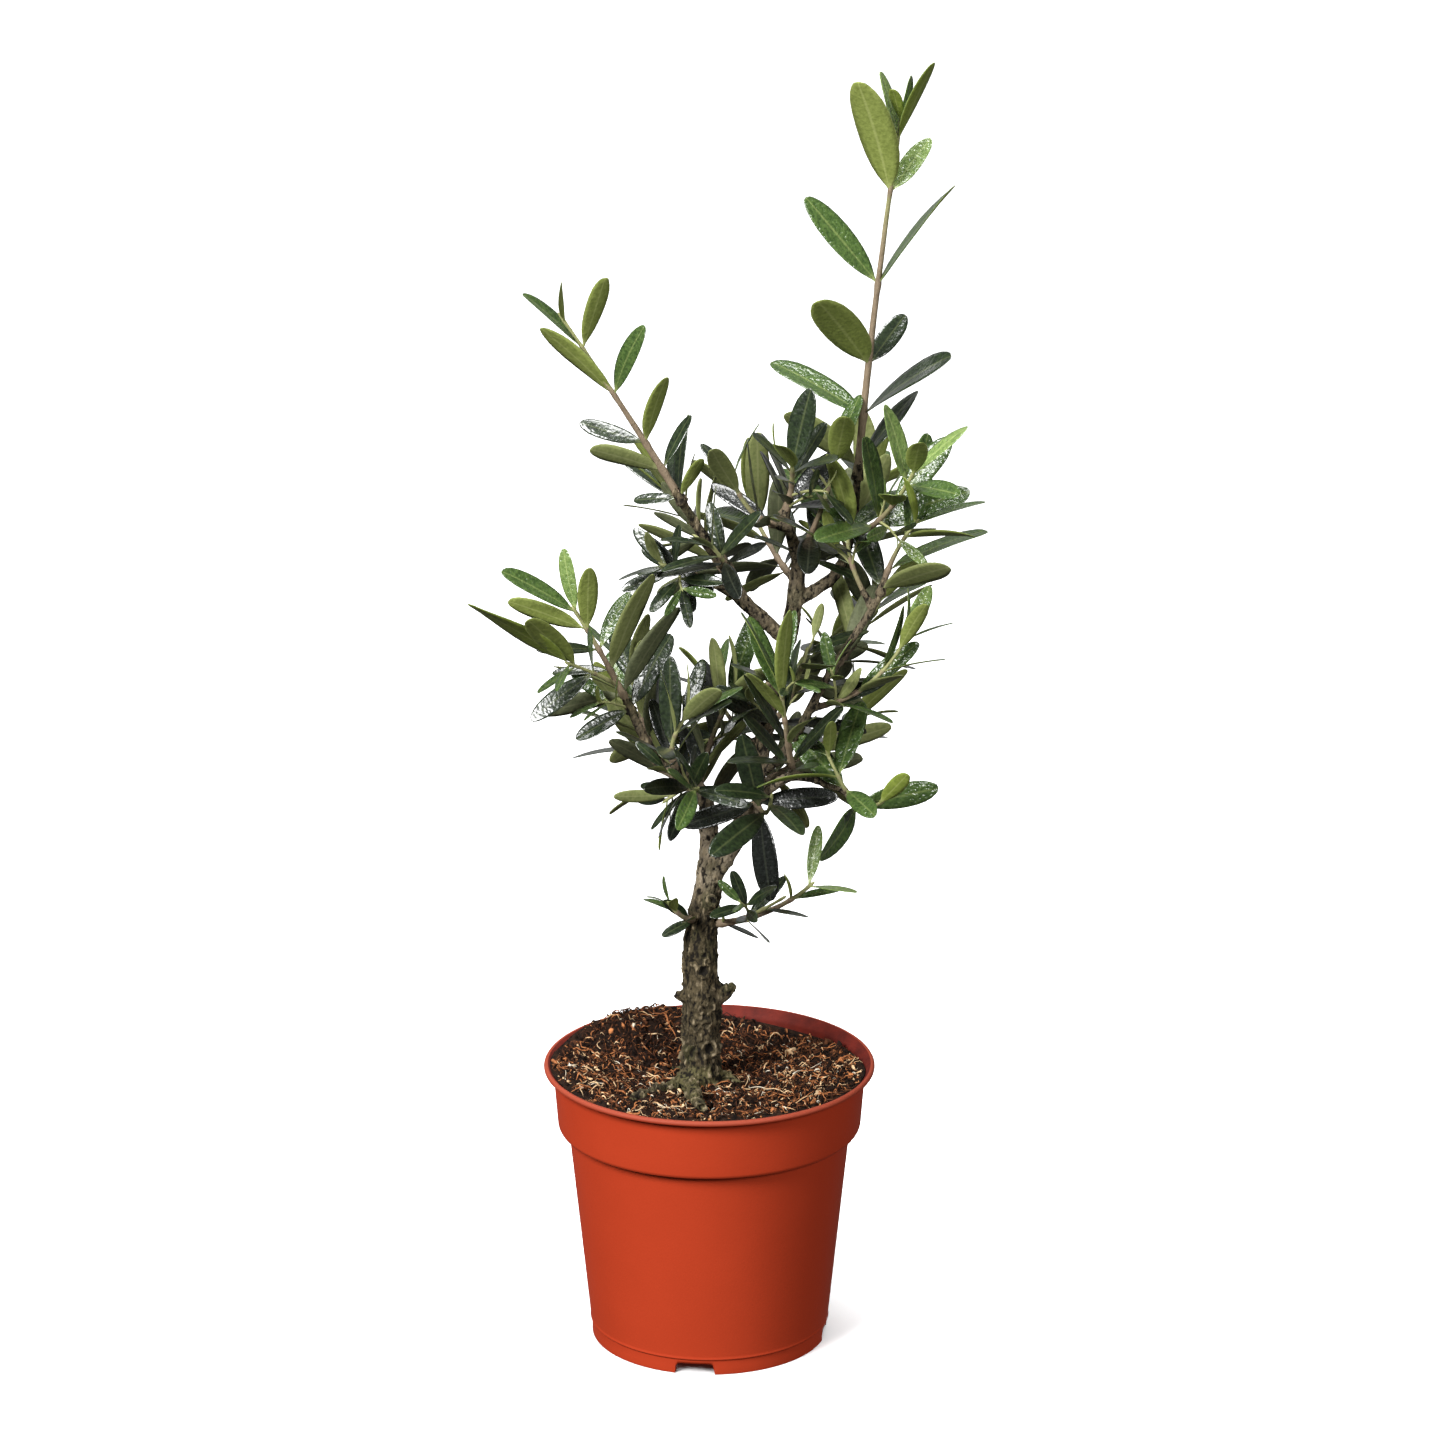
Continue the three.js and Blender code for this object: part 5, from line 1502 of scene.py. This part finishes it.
@dataclass(frozen=True)
class LeafRule:
    """The leafing rule, with the sizes that all sprays share."""

    width_share: float = 0.33
    stalk: float = 2.6
    thickness: float = 0.9
    fold: float = 0.16
    droop: float = 0.1
    light: float = 0.35
    open_jitter: float = 11.0
    roll_jitter: float = 16.0
    length_jitter: float = 0.16
    twist_jitter: float = 24.0
    clearance: float = 0.4
    last_pair: float = 0.98
    sections: tuple[tuple[float, float], ...] = ((0.34, 0.92), (0.78, 0.84))
    near_share: float = 0.56
    batch: int = 600
    wood_batch: int = 100

    def stream(self, seed: int, count: int) -> Array:
        """Seeded numbers: each state is the last one times a number plus a step, in 32 bits.

        Args:
            seed: The shoot's seed.
            count: How many.

        Returns:
            Numbers from -1 to 1.
        """
        start, first, times, step = 2654435761, 12345, 1664525, 1013904223
        state = (seed * start + first) & LOW_32
        out = []
        for _ in range(count):
            state = (state * times + step) & LOW_32
            out.append(state / (LOW_32 + 1) * 2 - 1)
        return np.array(out)

    def places(self, shoot: Shoot) -> Array:
        """Where pairs stand: long steps in the middle of a twig, short ones at its ends.

        Args:
            shoot: The shoot.

        Returns:
            Share of the twig for each pair.
        """
        k = np.arange(shoot.pairs - 1)
        steps = 0.35 + 0.9 * np.sin(math.pi * (k + 0.5) / max(shoot.pairs - 1, 1)) ** 2
        shares = np.cumsum(steps) / max(steps.sum(), 1e-9)
        return np.concatenate([[shoot.first], shoot.first + shares * (self.last_pair - shoot.first)])

    def sizes(self, shoot: Shoot) -> Array:
        """Sizes of a shoot's leaves.

        A leaf's length rises from the foot to the middle of the twig as a sine, then falls ever faster to the
        tip.

        Args:
            shoot: The shoot.

        Returns:
            Place, turn, opening, twist and length of each leaf.
        """
        if shoot.rows:
            return np.array([
                (row[0], row[1] + 180 * i, open_, twist, length)
                for row in shoot.rows for i, (length, open_, twist) in enumerate(row[2:])
            ], float)
        t = np.repeat(self.places(shoot), 2)
        k = np.repeat(np.arange(shoot.pairs), 2)
        half = np.tile([0, 180], shoot.pairs)
        roll, open_, twist, long = self.stream(shoot.seed, 8 * shoot.pairs).reshape(-1, 4).T
        foot, middle, tip = shoot.leaf
        rise = foot + (middle - foot) * np.sin(math.pi * t)
        fall = middle + (tip - middle) * np.maximum(2 * t - 1, 0) ** 5
        return np.stack([
            t,
            shoot.roll + 90 * k + half + self.roll_jitter * roll,
            shoot.open[0] + (shoot.open[1] - shoot.open[0]) * t + self.open_jitter * open_,
            self.twist_jitter * twist,
            np.where(t < 0.5, rise, fall) * (1 + self.length_jitter * long),
        ], -1)

    def leaves(self, twig: Twig, number: int) -> Leaves:
        """The leaves of a twig.

        A leaf leaves its twig at its opening angle, turned round it by its roll. Its upper side looks along
        the twig and about a third of the way up, turned by its twist.

        Args:
            twig: The twig.
            number: Its number.

        Returns:
            Its leaves, from foot to tip.
        """
        t, roll, open_, twist, length = self.sizes(twig.shoot).T
        roll, open_, twist = (np.radians(angle)[:, None] for angle in (roll, open_, twist))
        along = twig.along(t)
        reference = np.where(np.abs((along * FRONT).sum(-1, keepdims=True)) > 0.9, UP, FRONT)
        first = square_to(reference, along)
        radial = first * np.cos(roll) + np.cross(along, first) * np.sin(roll)
        heading = unit(along * np.cos(open_) + radial * np.sin(open_))
        face = square_to(along * (1 - self.light) + UP * self.light, heading)
        face = face * np.cos(twist) + np.cross(heading, face) * np.sin(twist)
        count = len(t)
        foot_age, tip_age = twig.age
        return Leaves(
            root=twig.at(t), heading=heading, face=face, length=length,
            half=length * self.width_share * twig.shoot.broad / 2,
            stalk=np.minimum(self.stalk, 0.6 + 0.1 * length) if twig.fine else np.full(count, self.stalk),
            age=foot_age + (tip_age - foot_age) * t**1.4,
            twig=np.full(count, number), spray=np.full(count, twig.spray),
        )

    def hulls(self, leaves: Leaves) -> Array:
        """The leaves' plain solids, half the clearance larger.

        Args:
            leaves: The leaves.

        Returns:
            Ten corners of each: root, two diamonds and tip.
        """
        extra = self.clearance / 2
        flat = np.zeros_like(leaves.length)
        corners = [leaves.root]
        for s, share in self.sections:
            half, fold = leaves.half * share + extra, leaves.half * share * self.fold
            up = self.thickness / 2 + extra
            for across, rise in ((half, fold), (flat, flat - up), (-half, fold), (flat, flat + up)):
                corners.append(leaves.place(s, across, rise, self.droop))
        corners.append(leaves.place(1.0, flat, flat + extra, self.droop))
        return np.stack(corners, 1)

    def near_wood(
        self, leaves: Leaves, centre: Array, radius: Array, owner: Array,
    ) -> Array:
        """Which leaves come too near to a limb or to another twig.

        Args:
            leaves: The leaves.
            centre: Points of all limbs and twigs.
            radius: Their radii.
            owner: The number of the twig that each belongs to, or -1.

        Returns:
            True for each leaf that has a point within twice the clearance.
        """
        probes = np.concatenate([self.hulls(leaves)[:, 1:], leaves.middle[:, None]], 1)
        near = np.zeros(len(probes), bool)
        for low in range(0, len(probes), self.wood_batch):
            part = slice(low, low + self.wood_batch)
            gap = np.linalg.norm(probes[part, :, None] - centre, axis=-1) - radius
            gap = np.where(owner == leaves.twig[part, None, None], 1e3, gap)
            near[part] = gap.min((1, 2)) < 2 * self.clearance
        return near

    def touching(self, leaves: Leaves) -> Array:
        """Which leaves touch which.

        A pair does if an edge of one leaf's plain solid pierces the other's. Two leaves on one spray may
        touch at their stalks.

        Args:
            leaves: The leaves.

        Returns:
            A square table of truth values.
        """
        hull, middle, length = self.hulls(leaves), leaves.middle, leaves.length
        one, other = np.triu_indices(len(hull), 1)
        apart = np.linalg.norm(middle[one] - middle[other], axis=1)
        close = apart <= (length[one] + length[other]) * self.near_share
        one, other = one[close], other[close]
        same = leaves.spray[one] == leaves.spray[other]
        corner = np.arange(4)
        beside = (corner + 1) % 4
        foot = np.stack([0 * corner, 1 + beside, 1 + corner], -1)
        band = np.stack([1 + corner, 1 + beside, 5 + beside], -1)
        band_too = np.stack([1 + corner, 5 + beside, 5 + corner], -1)
        tip = np.stack([0 * corner + 9, 5 + corner, 5 + beside], -1)
        blade = np.concatenate([band, band_too, tip])
        table = np.zeros((len(hull), len(hull)), bool)
        for chosen, triangles in ((same, blade), (~same, np.concatenate([foot, blade]))):
            rows, columns = one[chosen], other[chosen]
            for low in range(0, len(rows), self.batch):
                i, j = rows[low : low + self.batch], columns[low : low + self.batch]
                hit = _pierces(hull[i], hull[j], triangles) | _pierces(hull[j], hull[i], triangles)
                table[i, j] = hit
                table[j, i] = hit
        return table

    def settled(self, leaves: Leaves, blocked: Array) -> Array:
        """Which leaves stay: in order, each that isn't blocked and touches none that stays.

        Args:
            leaves: The leaves.
            blocked: True for each that may not stay.

        Returns:
            The rows of those that stay.
        """
        table = self.touching(leaves)
        keep = ~blocked
        for row in range(len(keep)):
            if keep[row]:
                keep[row + 1 :] &= ~table[row, row + 1 :]
        return np.flatnonzero(keep)


def _pierces(first: Array, second: Array, triangles: Array) -> Array:
    """Whether an edge of each first solid passes through a triangle of the second one.

    The edge meets the triangle's plane at a share t, where the triangle's own shares are u and v: all lie
    from 0 to 1, and u and v add up to no more than 1.

    Args:
        first: Corners of the first solids, shaped (pairs, corners, 3).
        second: Corners of the second solids.
        triangles: The triangles of both, as corner numbers.

    Returns:
        One truth value for each pair.
    """
    sides = np.concatenate([triangles[:, [0, 1]], triangles[:, [1, 2]], triangles[:, [2, 0]]])
    sides = np.unique(np.sort(sides, 1), axis=0)
    start = first[:, sides[:, 0], None]
    ray = first[:, sides[:, 1], None] - start
    corner = second[:, None, triangles]
    edge, edge_too = corner[..., 1, :] - corner[..., 0, :], corner[..., 2, :] - corner[..., 0, :]
    h = np.cross(ray, edge_too)
    size = (edge * h).sum(-1)
    real = np.abs(size) > TINY
    size = np.where(real, size, 1.0)
    gap = start - corner[..., 0, :]
    u = (gap * h).sum(-1) / size
    w = np.cross(gap, edge)
    v = (ray * w).sum(-1) / size
    t = (edge_too * w).sum(-1) / size
    return (real & (u >= 0) & (v >= 0) & (u + v <= 1) & (t >= 0) & (t <= 1)).any((1, 2))


def leaf_finishes() -> list[Finish]:
    """The leaves' finishes, with midrib and margin.

    Returns:
        Those of the upper faces by tone, then those of the under faces.
    """
    upper = {
        Tone.OLD: ((0.010, 0.014, 0.010), (0.002, 0.003, 0.002), (0.048, 0.054, 0.036)),
        Tone.GROWN: ((0.026, 0.042, 0.016), (0.006, 0.012, 0.005), (0.105, 0.125, 0.050)),
        Tone.FRESH: ((0.078, 0.130, 0.032), (0.030, 0.062, 0.014), (0.210, 0.260, 0.085)),
        Tone.TIP: ((0.215, 0.300, 0.090), (0.115, 0.185, 0.048), (0.390, 0.460, 0.180)),
    }
    under = {
        Tone.OLD: ((0.145, 0.160, 0.082), (0.090, 0.102, 0.052), (0.225, 0.235, 0.135)),
        Tone.GROWN: ((0.245, 0.274, 0.100), (0.168, 0.193, 0.066), (0.350, 0.366, 0.170)),
        Tone.FRESH: ((0.240, 0.286, 0.072), (0.170, 0.208, 0.046), (0.370, 0.408, 0.145)),
        Tone.TIP: ((0.225, 0.282, 0.050), (0.158, 0.206, 0.033), (0.370, 0.415, 0.135)),
    }
    out = []
    for side, tones, roughness, coat in (("upper", upper, 0.28, 1.0), ("under", under, 0.6, 0.0)):
        for tone, (colour, second, rib) in tones.items():
            layers = (
                Layer("across", rib, 0.10, 0.01, 0.5),
                Layer("across", rib, 0.9, 1.0, 0.5),
                Layer("along", rib, 0.08, 0.0, 0.9),
            )
            young = tone in (Tone.FRESH, Tone.TIP)
            out.append(Finish(
                f"leaf_{side}_{tone.name.lower()}", colour, second, grain=0.0014, contrast=0.3,
                roughness=roughness, specular=0.2,
                bump=1.0 if side == "upper" else 0.4, bump_grain=0.0014 if young else 0.0016,
                bump_height=0.0005 if young else 0.00023, bump_detail=1.0, coat=coat,
                coat_roughness=0.22 if young else 0.25, coat_ior=1.5 if young else 1.68, layers=layers,
            ))
    return out


TWIG_BARK = Finish(
    "twig_bark", (0.320, 0.240, 0.160), (0.170, 0.125, 0.080), grain=0.0016, stretch=(1.0, 1.0, 0.4),
    contrast=0.5, roughness=0.7, specular=0.35, bump=0.45, bump_grain=0.0005,
    layers=(Layer("young", (0.340, 0.355, 0.145), 0.25, 0.9, 0.9),),
)


@dataclass
class Crown:
    """All sprays: their twigs, their leaves, and the finer twigs on which the same rule goes on inside."""

    limbs: dict[str, Limb]
    rule: LeafRule = LeafRule()
    seed: int = 7
    fine_share: float = 0.35
    last_fine: float = 0.9
    last_fine_leading: float = 0.12
    tone_jitter: float = 0.28
    sides: int = 8
    stations: int = 40
    sprays: list[Spray] = field(default_factory=list)
    twigs: list[Twig] = field(default_factory=list)

    def __post_init__(self) -> None:
        """Sets out the sprays and their main twigs."""
        rear = [r.spray(i + 1, self.limbs[r.on].at(r.at)[0]) for i, r in enumerate(REAR)]
        self.sprays = [*SPRAYS, *rear]
        for number, spray in enumerate(self.sprays):
            stem = None
            for shoot in spray.shoots:
                foot = self.limbs[shoot.on].at(shoot.at)[0] if shoot.on else stem.at(shoot.branch)[0]
                twig = Twig(shoot, foot, number, spray.age)
                stem = stem or twig
                self.twigs.append(twig)

    def build(self) -> None:
        """Grows the main leaves, then the finer twigs and their leaves. Each spray becomes two pieces."""
        rng = np.random.default_rng(self.seed)
        main = Leaves.join([self.rule.leaves(twig, i) for i, twig in enumerate(self.twigs)])
        centre, radius, owner = self._wood(self.twigs)
        main = main.take(self.rule.settled(main, self.rule.near_wood(main, centre, radius, owner)))
        fine = self._fine_twigs(rng, main)
        twigs = [*self.twigs, *fine]
        small = Leaves.join([self.rule.leaves(twig, len(self.twigs) + i) for i, twig in enumerate(fine)])
        centre, radius, owner = self._wood(twigs)
        leaves = Leaves.join([main, small])
        blocked = np.zeros(len(leaves.length), bool)
        blocked[len(main.length) :] = self.rule.near_wood(small, centre, radius, owner)
        leaves = leaves.take(self.rule.settled(leaves, blocked))
        total = len(leaves.length)
        LOG.info("leaves: %d, of which %d on finer twigs", total, total - len(main.length))
        finishes = leaf_finishes()
        for number, spray in enumerate(self.sprays):
            own = leaves.take(leaves.spray == number)
            blades = self._blades(own, rng).piece(f"{spray.name}_leaves", "foliage", finishes, subdivide=1)
            wood = self._twig_tubes([twig for twig in twigs if twig.spray == number])
            stems = wood.piece(f"{spray.name}_twigs", "foliage", [TWIG_BARK])
            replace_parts(blades, spray.name)
            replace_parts(stems, spray.name)

    def _wood(self, twigs: Sequence[Twig]) -> tuple[Array, Array, Array]:
        """The wood that leaves keep clear of.

        Args:
            twigs: The twigs, besides all limbs.

        Returns:
            Points, radii, and the number of the twig that each belongs to, -1 on a limb.
        """
        parts = [(*samples(limb, 60), -1) for limb in self.limbs.values()]
        parts += [(*samples(twig, 24), number) for number, twig in enumerate(twigs)]
        return (
            np.concatenate([centre for centre, _, _ in parts]),
            np.concatenate([radius for _, radius, _ in parts]),
            np.concatenate([np.full(len(radius), number) for _, radius, number in parts]),
        )

    def _fine_twigs(self, rng: np.random.Generator, leaves: Leaves) -> list[Twig]:
        """Side twigs at the nodes of the main twigs inside the crown, with small leaves.

        A side twig leaves its twig half way between the twig's own heading and its leaf's. One that would run
        through a main leaf is left out, and the two sparse sprays low on the trunk have none.

        Args:
            rng: The source of chance.
            leaves: The main leaves.

        Returns:
            The side twigs.
        """
        fine = []
        for twig in self.twigs:
            if twig.shoot.on == "trunk":
                continue
            last = self.last_fine_leading if twig.shoot.rows else self.last_fine
            for t, roll in self.rule.sizes(twig.shoot)[:, :2]:
                chance, long, turn, lean = rng.random(4)
                if t > last or chance > self.fine_share:
                    continue
                along = twig.along(t)[0]
                reference = UP if abs(along @ FRONT) > 0.9 else FRONT
                first = square_to(reference, along)
                angle = math.radians(roll + 50 * (turn - 0.5))
                radial = first * math.cos(angle) + np.cross(along, first) * math.sin(angle)
                open_ = math.radians(38 + 22 * lean)
                heading = along * math.cos(open_) + radial * math.sin(open_)
                reach = 8 + 9 * long
                foot = twig.at(t)[0]
                shoot = Shoot(
                    tip=tuple(foot + heading * reach), bow=tuple(0.06 * reach * along), radius=(0.55, 0.35),
                    broad=1.1, pairs=2 + int(reach > 13), first=0.45,
                    leaf=(9 + 3 * long, 12 + 4 * long, 11.0), open=(58, 34), roll=360 * turn,
                    seed=int(rng.integers(1, 9999)),
                )
                side = Twig(shoot, foot, twig.spray, (twig.age[0] + 0.2, min(twig.age[1], 2.2)), fine=True)
                if not self._through(side, leaves):
                    fine.append(side)
        return fine

    def _through(self, twig: Twig, leaves: Leaves) -> bool:
        """Whether a side twig runs through a leaf: a point of it lies over the blade and close to it.

        Args:
            twig: The side twig.
            leaves: The main leaves.

        Returns:
            True if it does.
        """
        points = twig.at(np.linspace(0.25, 1.1, 9))
        away = points[:, None] - leaves.root
        side = np.cross(leaves.heading, leaves.face)
        s = ((away * leaves.heading).sum(-1) - leaves.stalk) / leaves.length
        across = np.abs((away * side).sum(-1))
        up = (away * leaves.face).sum(-1) + self.rule.droop * leaves.length * s * s
        width = leaves.half * np.sin(math.pi * np.clip(s, 0, 1) ** 1.2) ** 0.75 + 0.6
        return bool(((s > 0) & (s < 1.03) & (across < width) & (np.abs(up) < 1.3)).any())

    def _blades(self, leaves: Leaves, rng: np.random.Generator) -> Surface:
        """The leaves' blades on their stalks.

        A blade is oblong: at a share s of its length its half width is 1.18 x half x the root of
        1 - |2 s^1.15 - 1|^2.6. Its upper side folds up to the margins and has a groove over the midrib, and
        its under side has the rib. It droops and bends aside with the square of s, and twists with s^1.5,
        each leaf by its own amount.

        Args:
            leaves: The leaves.
            rng: The source of chance.

        Returns:
            The blades, with the marks across (0 at the midrib, 1 at the margin) and along (0 at the foot).
        """
        count = len(leaves.length)
        length, half = leaves.length[:, None, None], leaves.half[:, None, None]
        droop, bend, turn, cup, wave = rng.normal(0, 1, (5, count, 1, 1))
        s = np.array([-1.0, -0.05, 0.08, 0.27, 0.55, 0.82, 0.97])[None, :, None]
        blade = np.clip(s, 0, 1)
        outline = np.sqrt(np.maximum(1 - np.abs(2 * blade**1.15 - 1) ** 2.6, 0))
        width = np.where(s > 0, 1.18 * half * outline, np.minimum(0.5, 0.12 * half + 0.25))
        u = np.array([-1.0, -0.55, 0.0, 0.55, 1.0, 0.0])[None, None, :]
        under = np.array([0, 0, 0, 0, 0, 1.0])[None, None, :]
        stalk = leaves.stalk[:, None, None]
        reach = np.where(s < -0.5, 0.0, np.where(s < 0, 0.8 * stalk, stalk + length * blade))
        share = width / half
        fold = (0.20 + 0.09 * cup) * np.abs(u) ** 1.4 * half * share
        margin = -0.05 * half * share * smoothstep(0.6, 1.0, np.abs(u))
        body = np.where(s > 0, 0.24 + 0.018 * half, 0.4) * (1 - np.abs(u) ** 2)
        rib = np.exp(-((u / 0.2) ** 2)) * np.where(s > 0, 0.05 * half * (1 - 0.7 * blade), 0.0)
        ripple = 0.05 * half * wave * np.sin(9 * blade + 2 * turn) * u
        height = np.where(under > 0, -body - 1.2 * rib, body - 1.4 * rib) + fold + margin + ripple
        height = height - (0.1 + 0.035 * droop) * length * blade**2
        spin = 0.22 * turn * blade**1.5
        flat, cos, sin = width * u, np.cos(spin), np.sin(spin)
        across, height = flat * cos - height * sin, flat * sin + height * cos
        across = across + 0.03 * bend * length * blade**2
        side = np.cross(leaves.heading, leaves.face)

        def placed(out: Array, aside: Array, up: Array) -> Array:
            """Points of all leaves.

            Args:
                out: Distance along the heading.
                aside: Distance to the side.
                up: Distance towards the upper side.

            Returns:
                The points.
            """
            out, aside, up = (value[..., None] for value in np.broadcast_arrays(out, aside, up))
            heading, sideways, face = (axis[:, None, None] for axis in (leaves.heading, side, leaves.face))
            return leaves.root[:, None, None] + heading * out + sideways * aside + face * up

        rings = placed(reach, across, height).reshape(count, -1, 3)
        tip_drop = -(0.1 + 0.035 * droop) * length
        poles = np.concatenate([
            placed(0 * length, 0 * length, 0 * length)[:, 0],
            placed(stalk + 1.02 * length, 0.03 * bend * length, tip_drop)[:, 0],
        ], 1)
        points = np.concatenate([rings, poles], 1)
        rows, sides = s.size, u.size
        faces = tube_faces(rows, sides)
        under_face = np.tile(np.array([0, 0, 0, 0, 1, 1]), rows + 1)
        age = leaves.age + rng.normal(0, self.tone_jitter, count)
        tone = np.clip(np.rint(age), Tone.OLD.value, Tone.TIP.value).astype(int)
        slots = (tone[:, None] + len(Tone) * under_face[None]).ravel()
        ring_across = np.broadcast_to(np.abs(u), (count, rows, sides)).reshape(count, -1)
        ring_along = np.broadcast_to(blade, (count, rows, sides)).reshape(count, -1)
        marks = {
            "across": np.concatenate([ring_across, np.zeros((count, 2))], 1).ravel(),
            "along": np.concatenate([ring_along, np.zeros((count, 1)), np.ones((count, 1))], 1).ravel(),
        }
        return Surface(points.reshape(-1, 3), repeat_faces(faces, count, points.shape[1]), slots, marks)

    def _twig_tubes(self, twigs: Sequence[Twig]) -> Surface:
        """Tubes round twigs, with a swelling at each pair of leaves and a pointed bud at the end.

        Args:
            twigs: The twigs.

        Returns:
            The tubes, with the mark young: 0 on a stout brown twig, 1 on a thin green one.
        """
        parts = []
        for twig in twigs:
            stations = 14 if twig.fine else self.stations
            sides = 6 if twig.fine else self.sides
            t = np.linspace(0, 1, stations)
            nodes = np.unique(self.rule.sizes(twig.shoot)[:, 0])
            swell = np.exp(-(((t[:, None] - nodes) * twig.span / 1.2) ** 2)).sum(1)
            girth = twig.girth(t) * (1 + 0.3 * np.minimum(swell, 1.2))
            centre = twig.at(t)
            sway = np.stack([noise(centre, 9.0, 41 + k) for k in range(3)], -1)
            centre = centre + 0.35 * sway * (t * (1 - t))[:, None]
            bud = np.array([0.7, 1.4, 2.1])[:, None] * unit(centre[-1] - centre[-2]) * (0.5 + girth[-1])
            centre = np.concatenate([centre, centre[-1] + bud])
            girth = np.concatenate([girth, girth[-1] * np.array([0.95, 0.6, 0.12])])
            tube = tubes(centre[None], girth[None], sides)
            thin = smoothstep(1.15, 0.6, girth)
            tube.marks["young"] = np.concatenate([np.repeat(thin, sides), thin[:1], thin[-1:]])
            parts.append(tube)
        return Surface.join(parts)


# Studio


@dataclass
class Studio:
    """A pale floor, soft lights, and the camera where the photograph was taken from."""

    floor_size: float = 24.0
    camera_place: Point = (0.00476, -2.010, 0.880)
    camera_tilt: float = 72.165
    lens: float = 148.03
    sensor: float = 36.0
    world: tuple[float, float] = (0.07, 0.08)
    back_from: float = 0.55
    sheen: float = 0.25
    floor_light: float = 3.4
    lights: tuple[tuple[str, Point, Point, float, float], ...] = (
        ("key", (-1.35, -1.45, 1.6), (0.0, 0.0, 0.22), 1.0, 92.0),
        ("top", (-0.1, 0.1, 2.0), (0.0, 0.0, 0.22), 1.0, 42.0),
        ("front", (1.1, -1.9, 1.3), (0.0, 0.0, 0.22), 0.6, 27.0),
    )
    floor: Finish = Finish("studio_floor", (0.93, 0.93, 0.93), (0.92, 0.92, 0.92), grain=0.4, roughness=0.9,
                           specular=0.1)

    def build(self) -> None:
        """Lays the floor, lights it and sets the camera."""
        self._floor()
        self._world()
        for light in self.lights:
            self._light(*light)
        self._floor_light()
        self._camera()

    def _floor(self) -> None:
        """A square floor just under the pot."""
        half = self.floor_size / 2 / MM
        points = np.array([[-half, -half, 0], [half, -half, 0], [half, half, 0], [-half, half, 0]])
        mesh = Surface(points, np.array([[0, 1, 2, 3]]), np.zeros(1, int)).mesh("studio_floor")
        mesh.materials.append(self.floor.material())
        floor = bpy.data.objects.new("studio_floor", mesh)
        bpy.context.scene.collection.objects.link(floor)
        floor.visible_diffuse = False
        floor.visible_glossy = False

    def _world(self) -> None:
        """White light from all round: a little more of it from the right, and much more from the back."""
        world = bpy.data.worlds.new("studio")
        world.use_nodes = True
        tree = world.node_tree
        background = tree.nodes["Background"]
        background.inputs["Color"].default_value = (1.0, 1.0, 1.0, 1.0)
        place = tree.nodes.new("ShaderNodeTexCoord")
        parts = tree.nodes.new("ShaderNodeSeparateXYZ")
        span = tree.nodes.new("ShaderNodeMapRange")
        span.inputs["From Min"].default_value = -1.0
        span.inputs["To Min"].default_value, span.inputs["To Max"].default_value = self.world
        tree.links.new(place.outputs["Generated"], parts.inputs["Vector"])
        tree.links.new(parts.outputs["X"], span.inputs["Value"])
        back = tree.nodes.new("ShaderNodeMapRange")
        back.interpolation_type = "SMOOTHSTEP"
        back.inputs["From Min"].default_value = self.back_from
        back.inputs["To Max"].default_value = self.sheen
        tree.links.new(parts.outputs["Y"], back.inputs["Value"])
        total = tree.nodes.new("ShaderNodeMath")
        tree.links.new(span.outputs["Result"], total.inputs[0])
        tree.links.new(back.outputs["Result"], total.inputs[1])
        tree.links.new(total.outputs["Value"], background.inputs["Strength"])
        bpy.context.scene.world = world
        bpy.context.scene.view_settings.view_transform = "Standard"

    def _light(self, name: str, place: Point, aim: Point, size: float, power: float) -> None:
        """A square light.

        Args:
            name: Its name.
            place: Where it stands, in metres.
            aim: The point that it looks at.
            size: Its side, in metres.
            power: Its power, in watts.
        """
        lamp = bpy.data.lights.new(name, "AREA")
        lamp.size = size
        lamp.energy = power
        holder = bpy.data.objects.new(name, lamp)
        holder.location = place
        toward = np.array(place) - np.array(aim)
        level = math.hypot(toward[0], toward[1])
        holder.rotation_euler = (math.atan2(level, toward[2]), 0.0, math.atan2(toward[0], -toward[1]))
        bpy.context.scene.collection.objects.link(holder)

    def _floor_light(self) -> None:
        """A light from straight above that falls on the floor alone, so that the ground stays white."""
        lamp = bpy.data.lights.new("floor_light", "SUN")
        lamp.energy = self.floor_light
        lamp.angle = math.radians(60)
        holder = bpy.data.objects.new("floor_light", lamp)
        bpy.context.scene.collection.objects.link(holder)
        lit = bpy.data.collections.new("lit_floor")
        lit.objects.link(bpy.data.objects["studio_floor"])
        holder.light_linking.receiver_collection = lit

    def _camera(self) -> None:
        """The camera: its tilt, lens and place come from the pot's rim and foot in the photograph."""
        lens = bpy.data.cameras.new("camera")
        lens.sensor_width = self.sensor
        lens.lens = self.lens
        lens.clip_end = 60.0
        camera = bpy.data.objects.new("camera", lens)
        camera.location = self.camera_place
        camera.rotation_euler = (math.radians(self.camera_tilt), 0.0, 0.0)
        bpy.context.scene.collection.objects.link(camera)
        bpy.context.scene.camera = camera


def main() -> None:
    """Builds the potted tree piece by piece."""
    logging.basicConfig(level=logging.INFO, format="%(message)s")
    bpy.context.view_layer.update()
    pot = Pot()
    pot.build()
    soil = Soil(pot)
    soil.build()
    limbs = grown_limbs()
    crown = Crown(limbs)
    Wood(limbs, crown.twigs, soil).build()
    crown.build()
    Studio().build()
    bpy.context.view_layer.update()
    LOG.info("size noted")


if __name__ == "__main__":
    main()
